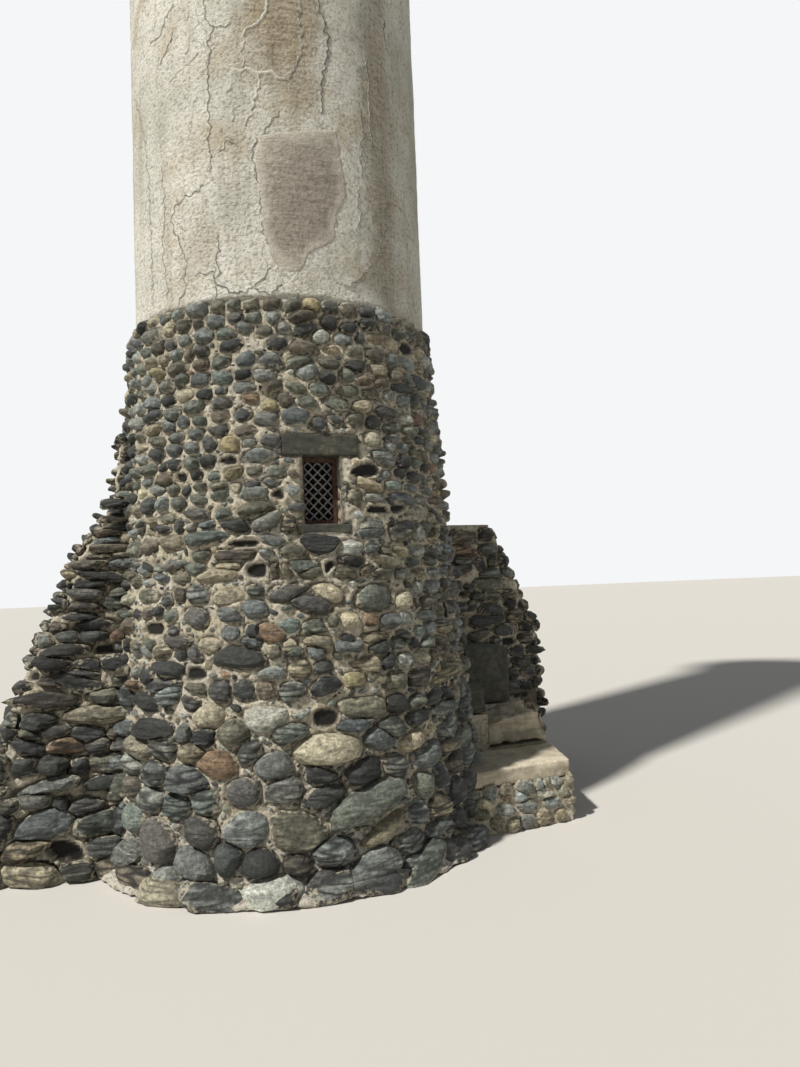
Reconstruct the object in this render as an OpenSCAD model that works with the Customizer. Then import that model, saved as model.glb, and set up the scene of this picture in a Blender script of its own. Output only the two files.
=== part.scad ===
// Round stair tower of beach cobble and plastered masonry, with a raking buttress on one side,
// steps to a doorway on the other and a conical roof. Millimetres, +Z up, origin on the tower's
// axis at the level where it stands. The small window faces -Y and the buttress lies along -X.

/* [Cobble drum] */
// Outer radius of the drum's wall at the ground, behind the faces of its cobbles
drum_foot_r = 1140; // [1050:5:1400]
// Outer radius of the drum's wall where the plastered shaft stands on it
drum_head_r = 930; // [925:5:1040]
// Height of the cobble drum
drum_h = 3075; // [2950:5:3600]
// Radius of the room inside the drum
room_r = 700; // [640:5:740]
// Depth of the ring course that closes the drum over the door and window
head_course_h = 375; // [250:5:450]
// How far the mortar apron spreads from the drum's foot
apron_w = 100; // [60:5:160]
// Height of the mortar apron against the drum
apron_h = 110; // [50:5:180]

/* [Plastered shaft] */
// Outer radius of the shaft
shaft_r = 920; // [860:5:925]
// Thickness of the shaft's wall
shaft_wall = 200; // [140:5:240]
// Height of each of the shaft's two lifts
lift_h = 3600; // [3000:10:3900]

/* [Doorway and steps] */
// Direction of the doorway and its steps, in degrees from +X
door_turn = 14; // [5:1:25]
// Clear width of the doorway
door_w = 560; // [460:5:640]
// Level of the floor and of the threshold
floor_z = 980; // [900:5:1080]
// Thickness of the stone floor
floor_t = 120; // [80:5:200]
// Clear width past each side of the doorway over which its lintel bears
lintel_bearing = 140; // [80:5:200]
// Height of the stone lintel over the doorway
door_lintel_h = 140; // [90:5:200]
// Level of the first step, a broad slab
slab_top_z = 385; // [330:5:430]
// Thickness of the broad slab
slab_t = 115; // [70:5:150]
// How far the broad slab's far corner lies beyond the drum's foot
slab_run = 600; // [520:5:700]
// How far the broad slab's near corner falls short of its far corner
slab_skew = 165; // [60:5:240]
// How far the broad slab's near edge lies before the doorway's middle
slab_near = 765; // [650:5:850]
// Level of the second step, a rough block, where it is highest
block_top_z = 620; // [560:5:680]
// How far the rough block lies beyond the drum's foot
block_run = 580; // [500:5:640]
// How far the rough block's crown falls to its inner tip
block_fall = 60; // [20:5:100]
// How far the rough block's near edge lies before the doorway's middle
block_near = 300; // [290:1:380]
// Level of the upper step, one riser below the threshold
upper_top_z = 800; // [740:5:860]
// How far the upper step stands out beyond the drum's foot
upper_run = 110; // [80:5:150]
// Level of the top of the cheek block beside the steps
cheek_top_z = 1030; // [960:5:1100]
// How far the cheek block lies beyond the drum's foot
cheek_run = 480; // [400:5:560]
// How far past the doorway's middle the steps and the cheek block run
steps_far = 420; // [340:5:500]

/* [Cliffside wall] */
// Thickness of the wing wall behind the steps
wing_t = 330; // [240:5:420]
// How far the wing wall runs beyond the drum's foot
wing_run = 1010; // [800:5:1150]
// How far the wing wall's level crest runs beyond the drum's foot
wing_crest_run = 610; // [400:5:700]
// Height of the wing wall's crest
wing_h = 1950; // [1600:5:2200]
// Height of the wing wall at its outer end
wing_end_h = 1100; // [800:5:1400]

/* [Seaward buttress] */
// How far the buttress's toe lies beyond the drum's foot
buttress_run = 810; // [600:5:1000]
// Height at which the buttress dies into the drum
buttress_h = 2450; // [2100:5:2700]
// Half the buttress's thickness at the ground
buttress_foot_half = 620; // [500:5:760]
// Half the buttress's thickness at its top
buttress_head_half = 385; // [300:5:480]
// Radius of the rounded upright corners at the toe
buttress_corner_r = 260; // [120:5:400]

/* [Windows] */
// Direction of the windows, in degrees from +X
window_turn = -79.5; // [-90:0.5:-70]
// Clear width of each window opening
window_w = 205; // [160:5:260]
// Clear height of each window opening
window_h = 365; // [280:5:460]
// Level of the drum window's sill
window_z = 1865; // [1700:5:2000]
// Levels of the shaft windows' sills, one in each lift
upper_window_z = [5520, 8720];
// Depth from the wall's outer face to the window frame
window_set = 90; // [40:5:120]
// Width of the window frame's bars
frame_w = 24; // [16:1:36]
// Depth of the window frame, from front to back
frame_d = 50; // [30:1:70]
// Number of the lattice's diamonds across a window
lattice_across = 3; // [2:1:5]
// Number of the lattice's diamonds up a window
lattice_up = 6; // [3:1:9]
// Width of a lattice bar
lattice_bar = 7; // [5:1:12]
// Depth of a lattice bar
lattice_d = 9; // [5:1:14]
// Width of the stone lintel over the drum's window
window_lintel_w = 420; // [340:5:520]
// Height of that lintel
window_lintel_h = 118; // [80:2:150]
// Depth of that lintel into the wall
window_lintel_d = 190; // [120:5:230]
// How far window sills run past each side of their opening
sill_ear = 45; // [20:5:70]
// Height of a window sill
sill_h = 60; // [40:5:90]
// How far a window sill stands out from the wall
sill_nose = 18; // [8:1:30]

/* [Roof] */
// Width of the timber wall plate
plate_w = 140; // [100:5:160]
// Height of the timber wall plate
plate_h = 100; // [70:5:130]
// Distance of the wall plate's outer edge from the shaft's outer face
plate_set = 45; // [15:5:55]
// Pitch of the roof in degrees
roof_pitch = 52; // [45:1:56]
// Radius of the eaves
eaves_r = 1150; // [1080:5:1200]
// Thickness of the boarded and shingled roof shell
roof_t = 42; // [30:1:60]
// Number of rafters
rafter_n = 8; // [6:1:10]
// Width of a rafter
rafter_w = 60; // [45:1:70]
// Depth of a rafter
rafter_d = 90; // [70:1:110]
// Depth of the notch that seats a rafter on the wall plate
rafter_notch = 25; // [10:1:35]
// How far a rafter's tail stops short of the eaves
tail_short = 30; // [15:1:60]
// Radius of the king post that the rafters meet
king_r = 90; // [86:1:110]
// Length of the king post below the roof's tip
king_drop = 420; // [320:5:480]
// Radius of the finial's ball
ball_r = 70; // [50:1:85]

/* [Hidden] */
$fn = 180;
head_z = drum_h - head_course_h;
door_h = head_z - floor_z;
eaves_wall_z = drum_h + 2 * lift_h;
shaft_in_r = shaft_r - shaft_wall;
far = 3 * drum_foot_r;
buttress_reach = drum_foot_r + buttress_run;
slab_reach = drum_foot_r + slab_run;
block_reach = drum_foot_r + block_run;
upper_reach = drum_foot_r + upper_run;
cheek_reach = drum_foot_r + cheek_run;
wing_reach = drum_foot_r + wing_run;
wing_crest_reach = drum_foot_r + wing_crest_run;

// Directions at which the drum's wall is built up in bays, counterclockwise from +X
bay_window_from = window_turn - 31;
bay_window_to = window_turn + 26;
bay_back_right_to = 82;
bay_back_to = 142;
bay_left_to = 198;

// Clear size inside a window frame, the size of one diamond and the lean of the bars
light_w = window_w - 2 * frame_w;
light_h = window_h - 2 * frame_w;
diamond_w = light_w / lattice_across;
diamond_h = light_h / lattice_up;
lattice_lean = atan(diamond_w / diamond_h);
lattice_lines = floor((lattice_across + lattice_up) / 2);

// Roof surface lines: height of the rafters' upper face at a radius, and the shell above it
plate_out_r = shaft_r - plate_set;
plate_top_z = eaves_wall_z + plate_h;
roof_seat_z = plate_top_z - rafter_notch + rafter_d / cos(roof_pitch);
roof_tip_z = roof_seat_z + plate_out_r * tan(roof_pitch);
roof_drop = roof_t / cos(roof_pitch);
ball_z = roof_tip_z + roof_drop + 120;

function drum_r(z) = drum_foot_r - (drum_foot_r - drum_head_r) * z / drum_h;
function roof_z(r) = roof_tip_z - r * tan(roof_pitch);

// A stretch of ring wall between two directions, battered on its outer face.
// Where the second direction is the smaller one, the bay runs clockwise from the first.
module ring_bay(from, to, r_in, r_low, r_high, z_low, z_high) {
    rotate([0, 0, from])
        mirror([0, to < from ? 1 : 0, 0])
            rotate_extrude(angle = abs(to - from))
                polygon([[r_in, z_low], [r_low, z_low], [r_high, z_high], [r_in, z_high]]);
}

// A stretch of the drum's wall between two levels
module drum_bay(from, to, z_low, z_high) {
    ring_bay(from, to, room_r, drum_r(z_low), drum_r(z_high), z_low, z_high);
}

// The drum's outside as one solid, which cuts the seats of what leans on it
module drum_body() {
    rotate_extrude()
        polygon([[0, -1], [drum_foot_r, 0], [drum_head_r, drum_h], [0, drum_h + 1]]);
}

// The doorway's passage through the wall
module door_passage() {
    rotate([0, 0, door_turn])
        translate([0, -door_w / 2, floor_z])
            cube([far, door_w, door_h]);
}

// A window's passage through the wall, above its sill level
module window_passage(z) {
    rotate([0, 0, window_turn])
        translate([0, -window_w / 2, z])
            cube([far, window_w, window_h]);
}

// Radius of the wall's outer face at a window's middle
function face_r(z) = z < drum_h ? drum_r(z + window_h / 2) : shaft_r;

// The seat of a window sill, cut into the wall below the opening
module sill_shape(z) {
    rotate([0, 0, window_turn])
        translate([face_r(z) - window_set - frame_d, -window_w / 2 - sill_ear, z - sill_h])
            cube([window_set + frame_d + sill_nose, window_w + 2 * sill_ear, sill_h]);
}

// The lintel over the drum's window, set into the cobbles
module window_lintel_shape() {
    rotate([0, 0, window_turn])
        translate([
            drum_r(window_z + window_h) + sill_nose / 2 - window_lintel_d,
            -window_lintel_w / 2,
            window_z + window_h
        ])
            cube([window_lintel_d, window_lintel_w, window_lintel_h]);
}

// The seat of the doorway's lintel, cut right through the head course
module door_lintel_seat() {
    rotate([0, 0, door_turn])
        translate([0, -door_w / 2 - lintel_bearing, head_z])
            cube([far, door_w + 2 * lintel_bearing, door_lintel_h]);
}

// The threshold's place between the jambs, from its seat up to a level at or over its top
module threshold_place(top_z) {
    rotate([0, 0, door_turn])
        translate([0, -door_w / 2, floor_z - floor_t])
            cube([far, door_w, top_z - floor_z + floor_t]);
}

// The window frame: four bars round the opening, level across the wall
module window_frame(z) {
    rotate([0, 0, window_turn])
        translate([face_r(z) - window_set - frame_d, -window_w / 2, z])
            difference() {
                cube([frame_d, window_w, window_h]);
                translate([-1, frame_w, frame_w])
                    cube([frame_d + 2, window_w - 2 * frame_w, window_h - 2 * frame_w]);
            }
}

// The diamond lattice that fills a window frame, its bars fused where they cross
module window_lattice(z) {
    rotate([0, 0, window_turn])
        translate([face_r(z) - window_set - (frame_d + lattice_d) / 2, 0, z + window_h / 2])
            rotate([90, 0, 90])
                linear_extrude(height = lattice_d)
                    intersection() {
                        square([light_w, light_h], center = true);
                        union() {
                            for (side = [-1, 1], i = [-lattice_lines : lattice_lines])
                                translate([i * diamond_w, 0])
                                    rotate(side * lattice_lean)
                                        square([lattice_bar, 2 * window_h], center = true);
                        }
                    }
}

// One quarter of the shaft in one lift, with the joints between quarters on the diagonals
module shaft_quarter(turn, lift) {
    z_low = drum_h + lift * lift_h;
    ring_bay(turn - 45, turn + 45, shaft_in_r, shaft_r, shaft_r, z_low, z_low + lift_h);
}

// The front quarter of a lift, with its window and the seat of the window's sill cut out
module shaft_window_quarter(lift) {
    difference() {
        shaft_quarter(270, lift);
        window_passage(upper_window_z[lift]);
        sill_shape(upper_window_z[lift]);
    }
}

// A block in the steps' own directions: out from the axis, then across the doorway's middle
module steps_block(out_from, out_to, across_from, across_to, z_low, z_high) {
    rotate([0, 0, door_turn])
        translate([out_from, across_from, z_low])
            cube([out_to - out_from, across_to - across_from, z_high - z_low]);
}

// The broad slab's outline, extruded between two levels, which also bounds the rubble below it
module slab_mass(z_low, z_high) {
    rotate([0, 0, door_turn])
        translate([0, 0, z_low])
            linear_extrude(height = z_high - z_low)
                polygon([
                    [0, -slab_near],
                    [slab_reach - slab_skew, -slab_near],
                    [slab_reach, -block_near],
                    [0, -block_near]
                ]);
}

// The mortar apron runs round the foot from the buttress to the steps
module foot_apron() {
    color("#cfc8b4")
        difference() {
            rotate([0, 0, 205])
                rotate_extrude(angle = 113)
                    polygon([
                        [drum_r(0), 0],
                        [drum_foot_r + apron_w, 0],
                        [drum_foot_r + apron_w, apron_h / 4],
                        [drum_r(apron_h), apron_h]
                    ]);
            buttress_mass();
        }
}

module base_wall_front() { color("#6e6a5e") drum_bay(225, 315, 0, floor_z); }
module base_wall_right() {
    color("#6e6a5e")
        difference() {
            drum_bay(-45, 45, 0, floor_z);
            threshold_place(floor_z + floor_t);
        }
}
module base_wall_back() { color("#6e6a5e") drum_bay(45, 135, 0, floor_z); }
module base_wall_left() { color("#6e6a5e") drum_bay(135, 225, 0, floor_z); }

module base_fill() {
    color("#857c68")
        cylinder(r = room_r, h = floor_z - floor_t);
}

module ground_floor() {
    color("#8d8a80")
        translate([0, 0, floor_z - floor_t])
            cylinder(r = room_r, h = floor_t);
}

// The threshold lies across the wall between the jambs, flush with the floor
module door_threshold() {
    color("#7b7a74")
        intersection() {
            threshold_place(floor_z);
            drum_bay(-45, 45, floor_z - floor_t, floor_z);
        }
}

// The lintel over the doorway, as deep as the wall
module door_lintel() {
    color("#5c5d5b")
        intersection() {
            door_lintel_seat();
            drum_bay(door_turn - 60, door_turn + 60, head_z, head_z + door_lintel_h);
        }
}

module wall_window_bay() {
    color("#7a7464")
        difference() {
            drum_bay(bay_window_from, bay_window_to, floor_z, head_z);
            window_passage(window_z);
            window_lintel_shape();
            sill_shape(window_z);
        }
}
module wall_right() {
    color("#7a7464")
        difference() {
            drum_bay(door_turn, bay_window_to, floor_z, head_z);
            door_passage();
        }
}
module wall_back_right() {
    color("#7a7464")
        difference() {
            drum_bay(door_turn, bay_back_right_to, floor_z, head_z);
            door_passage();
        }
}
module wall_back() { color("#7a7464") drum_bay(bay_back_right_to, bay_back_to, floor_z, head_z); }
module wall_left() { color("#7a7464") drum_bay(bay_back_to, bay_left_to, floor_z, head_z); }
module wall_front_left() {
    color("#7a7464") drum_bay(bay_left_to, 360 + bay_window_from, floor_z, head_z);
}

module drum_head_front() { color("#757163") drum_bay(225, 315, head_z, drum_h); }
module drum_head_right() {
    color("#757163")
        difference() {
            drum_bay(-45, 45, head_z, drum_h);
            door_lintel_seat();
        }
}
module drum_head_back() {
    color("#757163")
        difference() {
            drum_bay(45, 135, head_z, drum_h);
            door_lintel_seat();
        }
}
module drum_head_left() { color("#757163") drum_bay(135, 225, head_z, drum_h); }

module window_lintel() { color("#55534d") window_lintel_shape(); }
module window_sill() { color("#55534d") sill_shape(window_z); }
module shaft_sills() {
    color("#b9b2a2")
        for (z = upper_window_z)
            sill_shape(z);
}
module window_frames() {
    color("#7a4b35")
        for (z = concat([window_z], upper_window_z))
            window_frame(z);
}
module window_lattices() {
    color("#8f9092")
        for (z = concat([window_z], upper_window_z))
            window_lattice(z);
}

module shaft_lower_front() { color("#bdb5a5") shaft_window_quarter(0); }
module shaft_lower_right() { color("#bdb5a5") shaft_quarter(0, 0); }
module shaft_lower_back() { color("#bdb5a5") shaft_quarter(90, 0); }
module shaft_lower_left() { color("#bdb5a5") shaft_quarter(180, 0); }
module shaft_upper_front() { color("#bdb5a5") shaft_window_quarter(1); }
module shaft_upper_right() { color("#bdb5a5") shaft_quarter(0, 1); }
module shaft_upper_back() { color("#bdb5a5") shaft_quarter(90, 1); }
module shaft_upper_left() { color("#bdb5a5") shaft_quarter(180, 1); }

// The buttress's mass: a raking profile, battered sides and rounded corners at the toe
module buttress_mass() {
    intersection() {
        rotate([90, 0, 0])
            translate([0, 0, -far])
                linear_extrude(height = 2 * far)
                    polygon([
                        [0, 0],
                        [-buttress_reach, 0],
                        [-drum_foot_r - 0.1 * (buttress_reach - drum_foot_r), 0.72 * buttress_h],
                        [-drum_r(0.84 * buttress_h) - 20, 0.84 * buttress_h],
                        [-drum_r(buttress_h), buttress_h],
                        [0, buttress_h]
                    ]);
        rotate([90, 0, -90])
            linear_extrude(height = far)
                polygon([
                    [-buttress_foot_half, 0],
                    [buttress_foot_half, 0],
                    [buttress_head_half, buttress_h],
                    [-buttress_head_half, buttress_h]
                ]);
        linear_extrude(height = buttress_h)
            union() {
                translate([buttress_corner_r - buttress_reach, -buttress_foot_half])
                    square([buttress_reach - buttress_corner_r, 2 * buttress_foot_half]);
                translate([-buttress_reach, buttress_corner_r - buttress_foot_half])
                    square([buttress_reach, 2 * (buttress_foot_half - buttress_corner_r)]);
                for (side = [-1, 1])
                    translate([
                        buttress_corner_r - buttress_reach,
                        side * (buttress_foot_half - buttress_corner_r)
                    ])
                        circle(r = buttress_corner_r);
            }
    }
}

module seaward_buttress() {
    color("#5d594f")
        difference() {
            buttress_mass();
            drum_body();
        }
}

// The wing wall behind the steps, its crest falling towards the outer end
module cliffside_wall() {
    color("#4f4c46")
        difference() {
            rotate([0, 0, door_turn])
                translate([0, steps_far + wing_t, 0])
                    rotate([90, 0, 0])
                        linear_extrude(height = wing_t)
                            polygon([
                                [room_r / 2, 0],
                                [wing_reach, 0],
                                [wing_reach, wing_end_h],
                                [wing_crest_reach, wing_h],
                                [room_r / 2, wing_h]
                            ]);
            drum_body();
        }
}

// The rubble that carries the steps, one level under each of them
module steps_rubble() {
    color("#8a8272")
        difference() {
            union() {
                slab_mass(0, slab_top_z - slab_t);
                steps_block(0, block_reach, -block_near, 0, 0, slab_top_z);
                steps_block(0, upper_reach, -block_near, steps_far, 0, block_top_z);
                steps_block(0, block_reach, 0, steps_far, 0, block_top_z);
            }
            drum_body();
        }
}

module step_slab() {
    color("#c3bba6")
        difference() {
            slab_mass(slab_top_z - slab_t, slab_top_z);
            drum_body();
        }
}

// The rough block's crown falls from its outer end to a low tip beside the upper step
module step_block() {
    block_l = block_reach - upper_reach;
    block_h = block_top_z - slab_top_z;
    color("#a79c86")
        rotate([0, 0, door_turn])
            translate([upper_reach, 0, slab_top_z])
                rotate([90, 0, 0])
                    linear_extrude(height = block_near)
                        polygon([
                            [0, 0],
                            [block_l, 0],
                            [block_l, block_h - block_fall / 2],
                            [0.7 * block_l, block_h],
                            [0, block_h - block_fall]
                        ]);
}

module step_upper() {
    color("#6b675e")
        difference() {
            steps_block(0, upper_reach, -block_near, steps_far, block_top_z, upper_top_z);
            drum_body();
        }
}

module cheek_block() {
    color("#6e625a")
        steps_block(upper_reach, cheek_reach, 0, steps_far, block_top_z, cheek_top_z);
}

module wall_plate() {
    color("#7d6a52")
        ring_bay(0, 360, plate_out_r - plate_w, plate_out_r, plate_out_r, eaves_wall_z, plate_top_z);
}

// Rafters notched over the wall plate and meeting the king post
module rafters() {
    drop = rafter_d / cos(roof_pitch);
    tail_r = eaves_r - tail_short;
    color("#84705a")
        for (i = [0 : rafter_n - 1])
            rotate([0, 0, (i + 0.5) * 360 / rafter_n])
                difference() {
                    intersection() {
                        rotate_extrude()
                            polygon([
                                [king_r, roof_z(king_r) - drop],
                                [tail_r, roof_z(tail_r) - drop],
                                [tail_r, roof_z(tail_r)],
                                [king_r, roof_z(king_r)]
                            ]);
                        translate([0, -rafter_w / 2, 0])
                            cube([eaves_r, rafter_w, roof_tip_z]);
                    }
                    translate([0, 0, eaves_wall_z - plate_h])
                        cylinder(r = plate_out_r, h = 2 * plate_h);
                }
}

// The roof's shell, open at the tip where the king post comes through
module roof_cone() {
    color("#6f6557")
        rotate_extrude()
            polygon([
                [king_r, roof_z(king_r)],
                [eaves_r, roof_z(eaves_r)],
                [eaves_r, roof_z(eaves_r) + roof_drop],
                [king_r, roof_z(king_r) + roof_drop]
            ]);
}

// The king post, whose head is a collar, a neck and a ball over the roof's tip
module finial() {
    color("#5f6163") {
        translate([0, 0, roof_tip_z - king_drop])
            cylinder(r = king_r, h = king_drop);
        translate([0, 0, roof_tip_z])
            cylinder(r1 = king_r, r2 = ball_r / 2, h = roof_drop + 60);
        translate([0, 0, roof_tip_z])
            cylinder(r = ball_r / 2, h = ball_z - roof_tip_z);
        translate([0, 0, ball_z])
            sphere(r = ball_r);
    }
}

foot_apron();
base_wall_front();
base_wall_right();
base_wall_back();
base_wall_left();
base_fill();
ground_floor();
wall_window_bay();
wall_right();
wall_back_right();
wall_back();
wall_left();
wall_front_left();
drum_head_front();
drum_head_right();
drum_head_back();
drum_head_left();
door_lintel();
door_threshold();
window_lintel();
window_sill();
shaft_sills();
window_frames();
window_lattices();
shaft_lower_front();
shaft_lower_right();
shaft_lower_back();
shaft_lower_left();
shaft_upper_front();
shaft_upper_right();
shaft_upper_back();
shaft_upper_left();
seaward_buttress();
cliffside_wall();
steps_rubble();
step_slab();
step_block();
step_upper();
cheek_block();
wall_plate();
rafters();
roof_cone();
finial();
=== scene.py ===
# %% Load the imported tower
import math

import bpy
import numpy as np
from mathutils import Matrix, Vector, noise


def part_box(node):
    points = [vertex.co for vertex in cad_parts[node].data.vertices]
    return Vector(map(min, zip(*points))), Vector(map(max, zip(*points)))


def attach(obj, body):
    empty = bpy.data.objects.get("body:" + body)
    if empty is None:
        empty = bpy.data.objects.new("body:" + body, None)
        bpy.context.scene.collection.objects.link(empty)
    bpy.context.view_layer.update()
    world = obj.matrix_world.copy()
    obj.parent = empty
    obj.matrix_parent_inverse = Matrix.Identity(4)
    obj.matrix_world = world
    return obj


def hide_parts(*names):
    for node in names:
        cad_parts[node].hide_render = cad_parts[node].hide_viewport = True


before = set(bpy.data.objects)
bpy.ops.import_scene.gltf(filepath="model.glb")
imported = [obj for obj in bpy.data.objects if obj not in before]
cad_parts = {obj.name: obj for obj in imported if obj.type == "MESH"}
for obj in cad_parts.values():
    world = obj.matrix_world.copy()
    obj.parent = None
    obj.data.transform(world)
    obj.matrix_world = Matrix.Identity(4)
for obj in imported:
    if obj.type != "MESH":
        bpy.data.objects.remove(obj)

# %% [markdown]
# # Dressing a round stair tower in stone, mortar and plaster
# The imported model already holds the masonry masses: the drum, the plastered shaft, the raking
# buttress, the steps, the wing wall and the roof. This lesson gives every mass the skin that a
# mason gave it. Stones are laid course by course and fitted to their neighbours, mortar is
# squeezed up between them, plaster is thrown on the shaft, and each finish is mixed from noise
# in real millimetres. The dressed one has to stay as large.

TURN = 2 * math.pi


def show(name, data):
    """A new object in the scene, at the origin."""
    thing = bpy.data.objects.new(name, data)
    bpy.context.scene.collection.objects.link(thing)
    return thing


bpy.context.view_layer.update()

# %% [markdown]
# ## Sizes that the model gives us
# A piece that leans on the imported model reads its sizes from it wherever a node's box tells them:
# a quarter of a ring tells its radius, a lintel the head of an opening. Directions are written
# again, since a box can't hold an angle, and so are the widths of what lies askew.

# %% Sizes read from the nodes
DRUM_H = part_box("drum_head_back")[1].z
HEAD_COURSE_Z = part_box("drum_head_back")[0].z
FOOT_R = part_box("base_wall_back")[1].y
SLOPE = (FOOT_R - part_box("drum_head_back")[1].y) / HEAD_COURSE_Z
SHAFT_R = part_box("shaft_lower_back")[1].y
SHAFT_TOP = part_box("shaft_upper_back")[1].z
FLOOR_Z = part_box("ground_floor")[1].z
WINDOW_SILL_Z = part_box("window_sill")[1].z
WINDOW_HEAD_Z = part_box("window_lintel")[0].z
WINDOW_H = WINDOW_HEAD_Z - WINDOW_SILL_Z
WINDOW_W = 0.205
WINDOW_TURN = math.radians(-79.5)
LINTEL_HALF, SILL_HALF = 0.21, 0.15
LINTEL_H, SILL_H, DOOR_LINTEL_H, THRESHOLD_H = (
    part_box(name)[1].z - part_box(name)[0].z
    for name in ("window_lintel", "window_sill", "door_lintel", "door_threshold"))
UPPER_SILLS = (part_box("shaft_sills")[0].z + SILL_H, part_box("shaft_sills")[1].z)
UPPER_SILL_HALF = WINDOW_W / 2 + 0.045
DOOR_TURN = math.radians(14)
DOOR_W = 0.56
DOOR_LINTEL_W = 0.84


def drum_r(z):
    """Radius of the drum's wall at a height."""
    return FOOT_R - SLOPE * z


print("drum", round(FOOT_R, 3), "to", round(drum_r(DRUM_H), 3), "m, shaft", round(SHAFT_R, 3))

# %% [markdown]
# ## Camera
# The photo was taken by somebody standing a few metres before the tower, with a wide phone lens
# tipped up by three degrees. The camera stands at that place.

# %% Camera
PHOTO_W, PHOTO_H = 800, 1067
FOCAL_PX = 740
SENSOR_MM = 36
CAMERA_AT = Vector((0, -4.904, 1.582))
YAW, PITCH, ROLL = (math.radians(a) for a in (8.52, 3.15, -2.16))

ahead = Vector((math.sin(YAW) * math.cos(PITCH), math.cos(YAW) * math.cos(PITCH), math.sin(PITCH)))
level = Vector((math.cos(YAW), -math.sin(YAW), 0))
upright = level.cross(ahead)
right = math.cos(ROLL) * level + math.sin(ROLL) * upright
above = -math.sin(ROLL) * level + math.cos(ROLL) * upright
lens = bpy.data.cameras.new("photographer")
lens.sensor_width = SENSOR_MM
lens.lens = FOCAL_PX * SENSOR_MM / max(PHOTO_W, PHOTO_H)
camera = show("photographer", lens)
camera.matrix_world = Matrix.Translation(CAMERA_AT) @ Matrix((right, above, -ahead)).transposed().to_4x4()
bpy.context.scene.camera = camera
bpy.context.scene.view_settings.view_transform = "Standard"
print("lens", round(lens.lens, 2), "mm")

# %% [markdown]
# ## Colours and nodes
# Every colour is written as the hex value that it has on screen, and one function turns it to
# the linear value that Blender mixes with. Another adds a node, and it's all we need to build
# materials, the sky and the Geometry Nodes tree.

# %% Colour and node helpers
NOISE = "ShaderNodeTexNoise"
CELLS = "ShaderNodeTexVoronoi"
MAPPING = "ShaderNodeMapping"
STORED = "ShaderNodeAttribute"
RAMP = "ShaderNodeValToRGB"
RANGE = "ShaderNodeMapRange"
MIX = "ShaderNodeMix"
MATH = "ShaderNodeMath"
VECTOR = "ShaderNodeVectorMath"


def paint(hex_colour):
    """A colour written as sRGB hex, as the linear values that Blender's sockets take."""
    parts = [int(hex_colour[i:i + 2], 16) / 255 for i in (1, 3, 5)]
    return tuple(p / 12.92 if p <= 0.04045 else ((p + 0.055) / 1.055) ** 2.4 for p in parts) + (1.0,)


def add(tree, kind, sockets=None, stops=None, **settings):
    """Adds a node with its settings and ramp stops, and fills or links its sockets."""
    node = tree.nodes.new(kind)
    for name, value in settings.items():
        setattr(node, name, value)
    for number, (place, colour) in enumerate(stops or ()):
        if number >= len(node.color_ramp.elements):
            node.color_ramp.elements.new(1.0)
        node.color_ramp.elements[number].position = place
        node.color_ramp.elements[number].color = paint(colour)
    for socket, value in (sockets or {}).items():
        if isinstance(value, bpy.types.NodeSocket):
            tree.links.new(value, node.inputs[socket])
        else:
            node.inputs[socket].default_value = value
    return node


# %% [markdown]
# ## Light
# A sun on the left models every stone, and a pale sky fills the shade, as on the day of the
# photo. The sky looks white to the camera but lights with a sixth of that strength, so the pale
# plaster doesn't burn out and the joints stay deep.

# %% Sun, sky and floor
SUN_TURN = math.radians(-54)
SUN_HEIGHT = math.radians(50)
SUN_STRENGTH = 4.3
SUN_ACROSS = math.radians(3)
SKY_STRENGTH = 0.17

to_sun = Vector((
    math.sin(SUN_TURN) * math.cos(SUN_HEIGHT),
    -math.cos(SUN_TURN) * math.cos(SUN_HEIGHT),
    math.sin(SUN_HEIGHT),
))
sun_light = bpy.data.lights.new("sun", "SUN")
sun_light.energy = SUN_STRENGTH
sun_light.angle = SUN_ACROSS
sun_light.color = paint("#fffaf2")[:3]
show("sun", sun_light).rotation_euler = to_sun.to_track_quat("Z", "Y").to_euler()

sky = bpy.data.worlds.new("studio_sky")
sky.use_nodes = True
bpy.context.scene.world = sky
sky_fill = sky.node_tree.nodes["Background"]
sky_fill.inputs["Color"].default_value = paint("#ecf0f4")
sky_fill.inputs["Strength"].default_value = SKY_STRENGTH
rays = add(sky.node_tree, "ShaderNodeLightPath").outputs
seen = rays["Is Camera Ray"]
for ray in ("Is Glossy Ray", "Is Transmission Ray"):
    seen = add(sky.node_tree, MATH, {0: seen, 1: rays[ray]}, operation="MAXIMUM").outputs[0]
backdrop = add(sky.node_tree, "ShaderNodeBackground", {"Color": paint("#f5f6f7"), "Strength": 1.0})
both = add(sky.node_tree, "ShaderNodeMixShader", {0: seen, 1: sky_fill.outputs[0], 2: backdrop.outputs[0]})
sky.node_tree.links.new(both.outputs[0], sky.node_tree.nodes["World Output"].inputs["Surface"])

FLOOR_HALF = 60
FLOOR_DROP = 0.002
floor_mesh = bpy.data.meshes.new("studio_floor")
floor_mesh.from_pydata([(-1, -1, 0), (1, -1, 0), (1, 1, 0), (-1, 1, 0)], [], [(0, 1, 2, 3)])
floor_mesh.transform(Matrix.Translation((0, 0, -FLOOR_DROP)) @ Matrix.Scale(FLOOR_HALF, 4))
floor_finish = bpy.data.materials.new("studio_floor")
floor_finish.use_nodes = True
floor_shader = floor_finish.node_tree.nodes["Principled BSDF"]
floor_shader.inputs["Base Color"].default_value = paint("#cdcbc6")
floor_shader.inputs["Roughness"].default_value = 0.9
floor_mesh.materials.append(floor_finish)
floor = show("studio_floor", floor_mesh)
print("sun", [round(v, 2) for v in to_sun])

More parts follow.
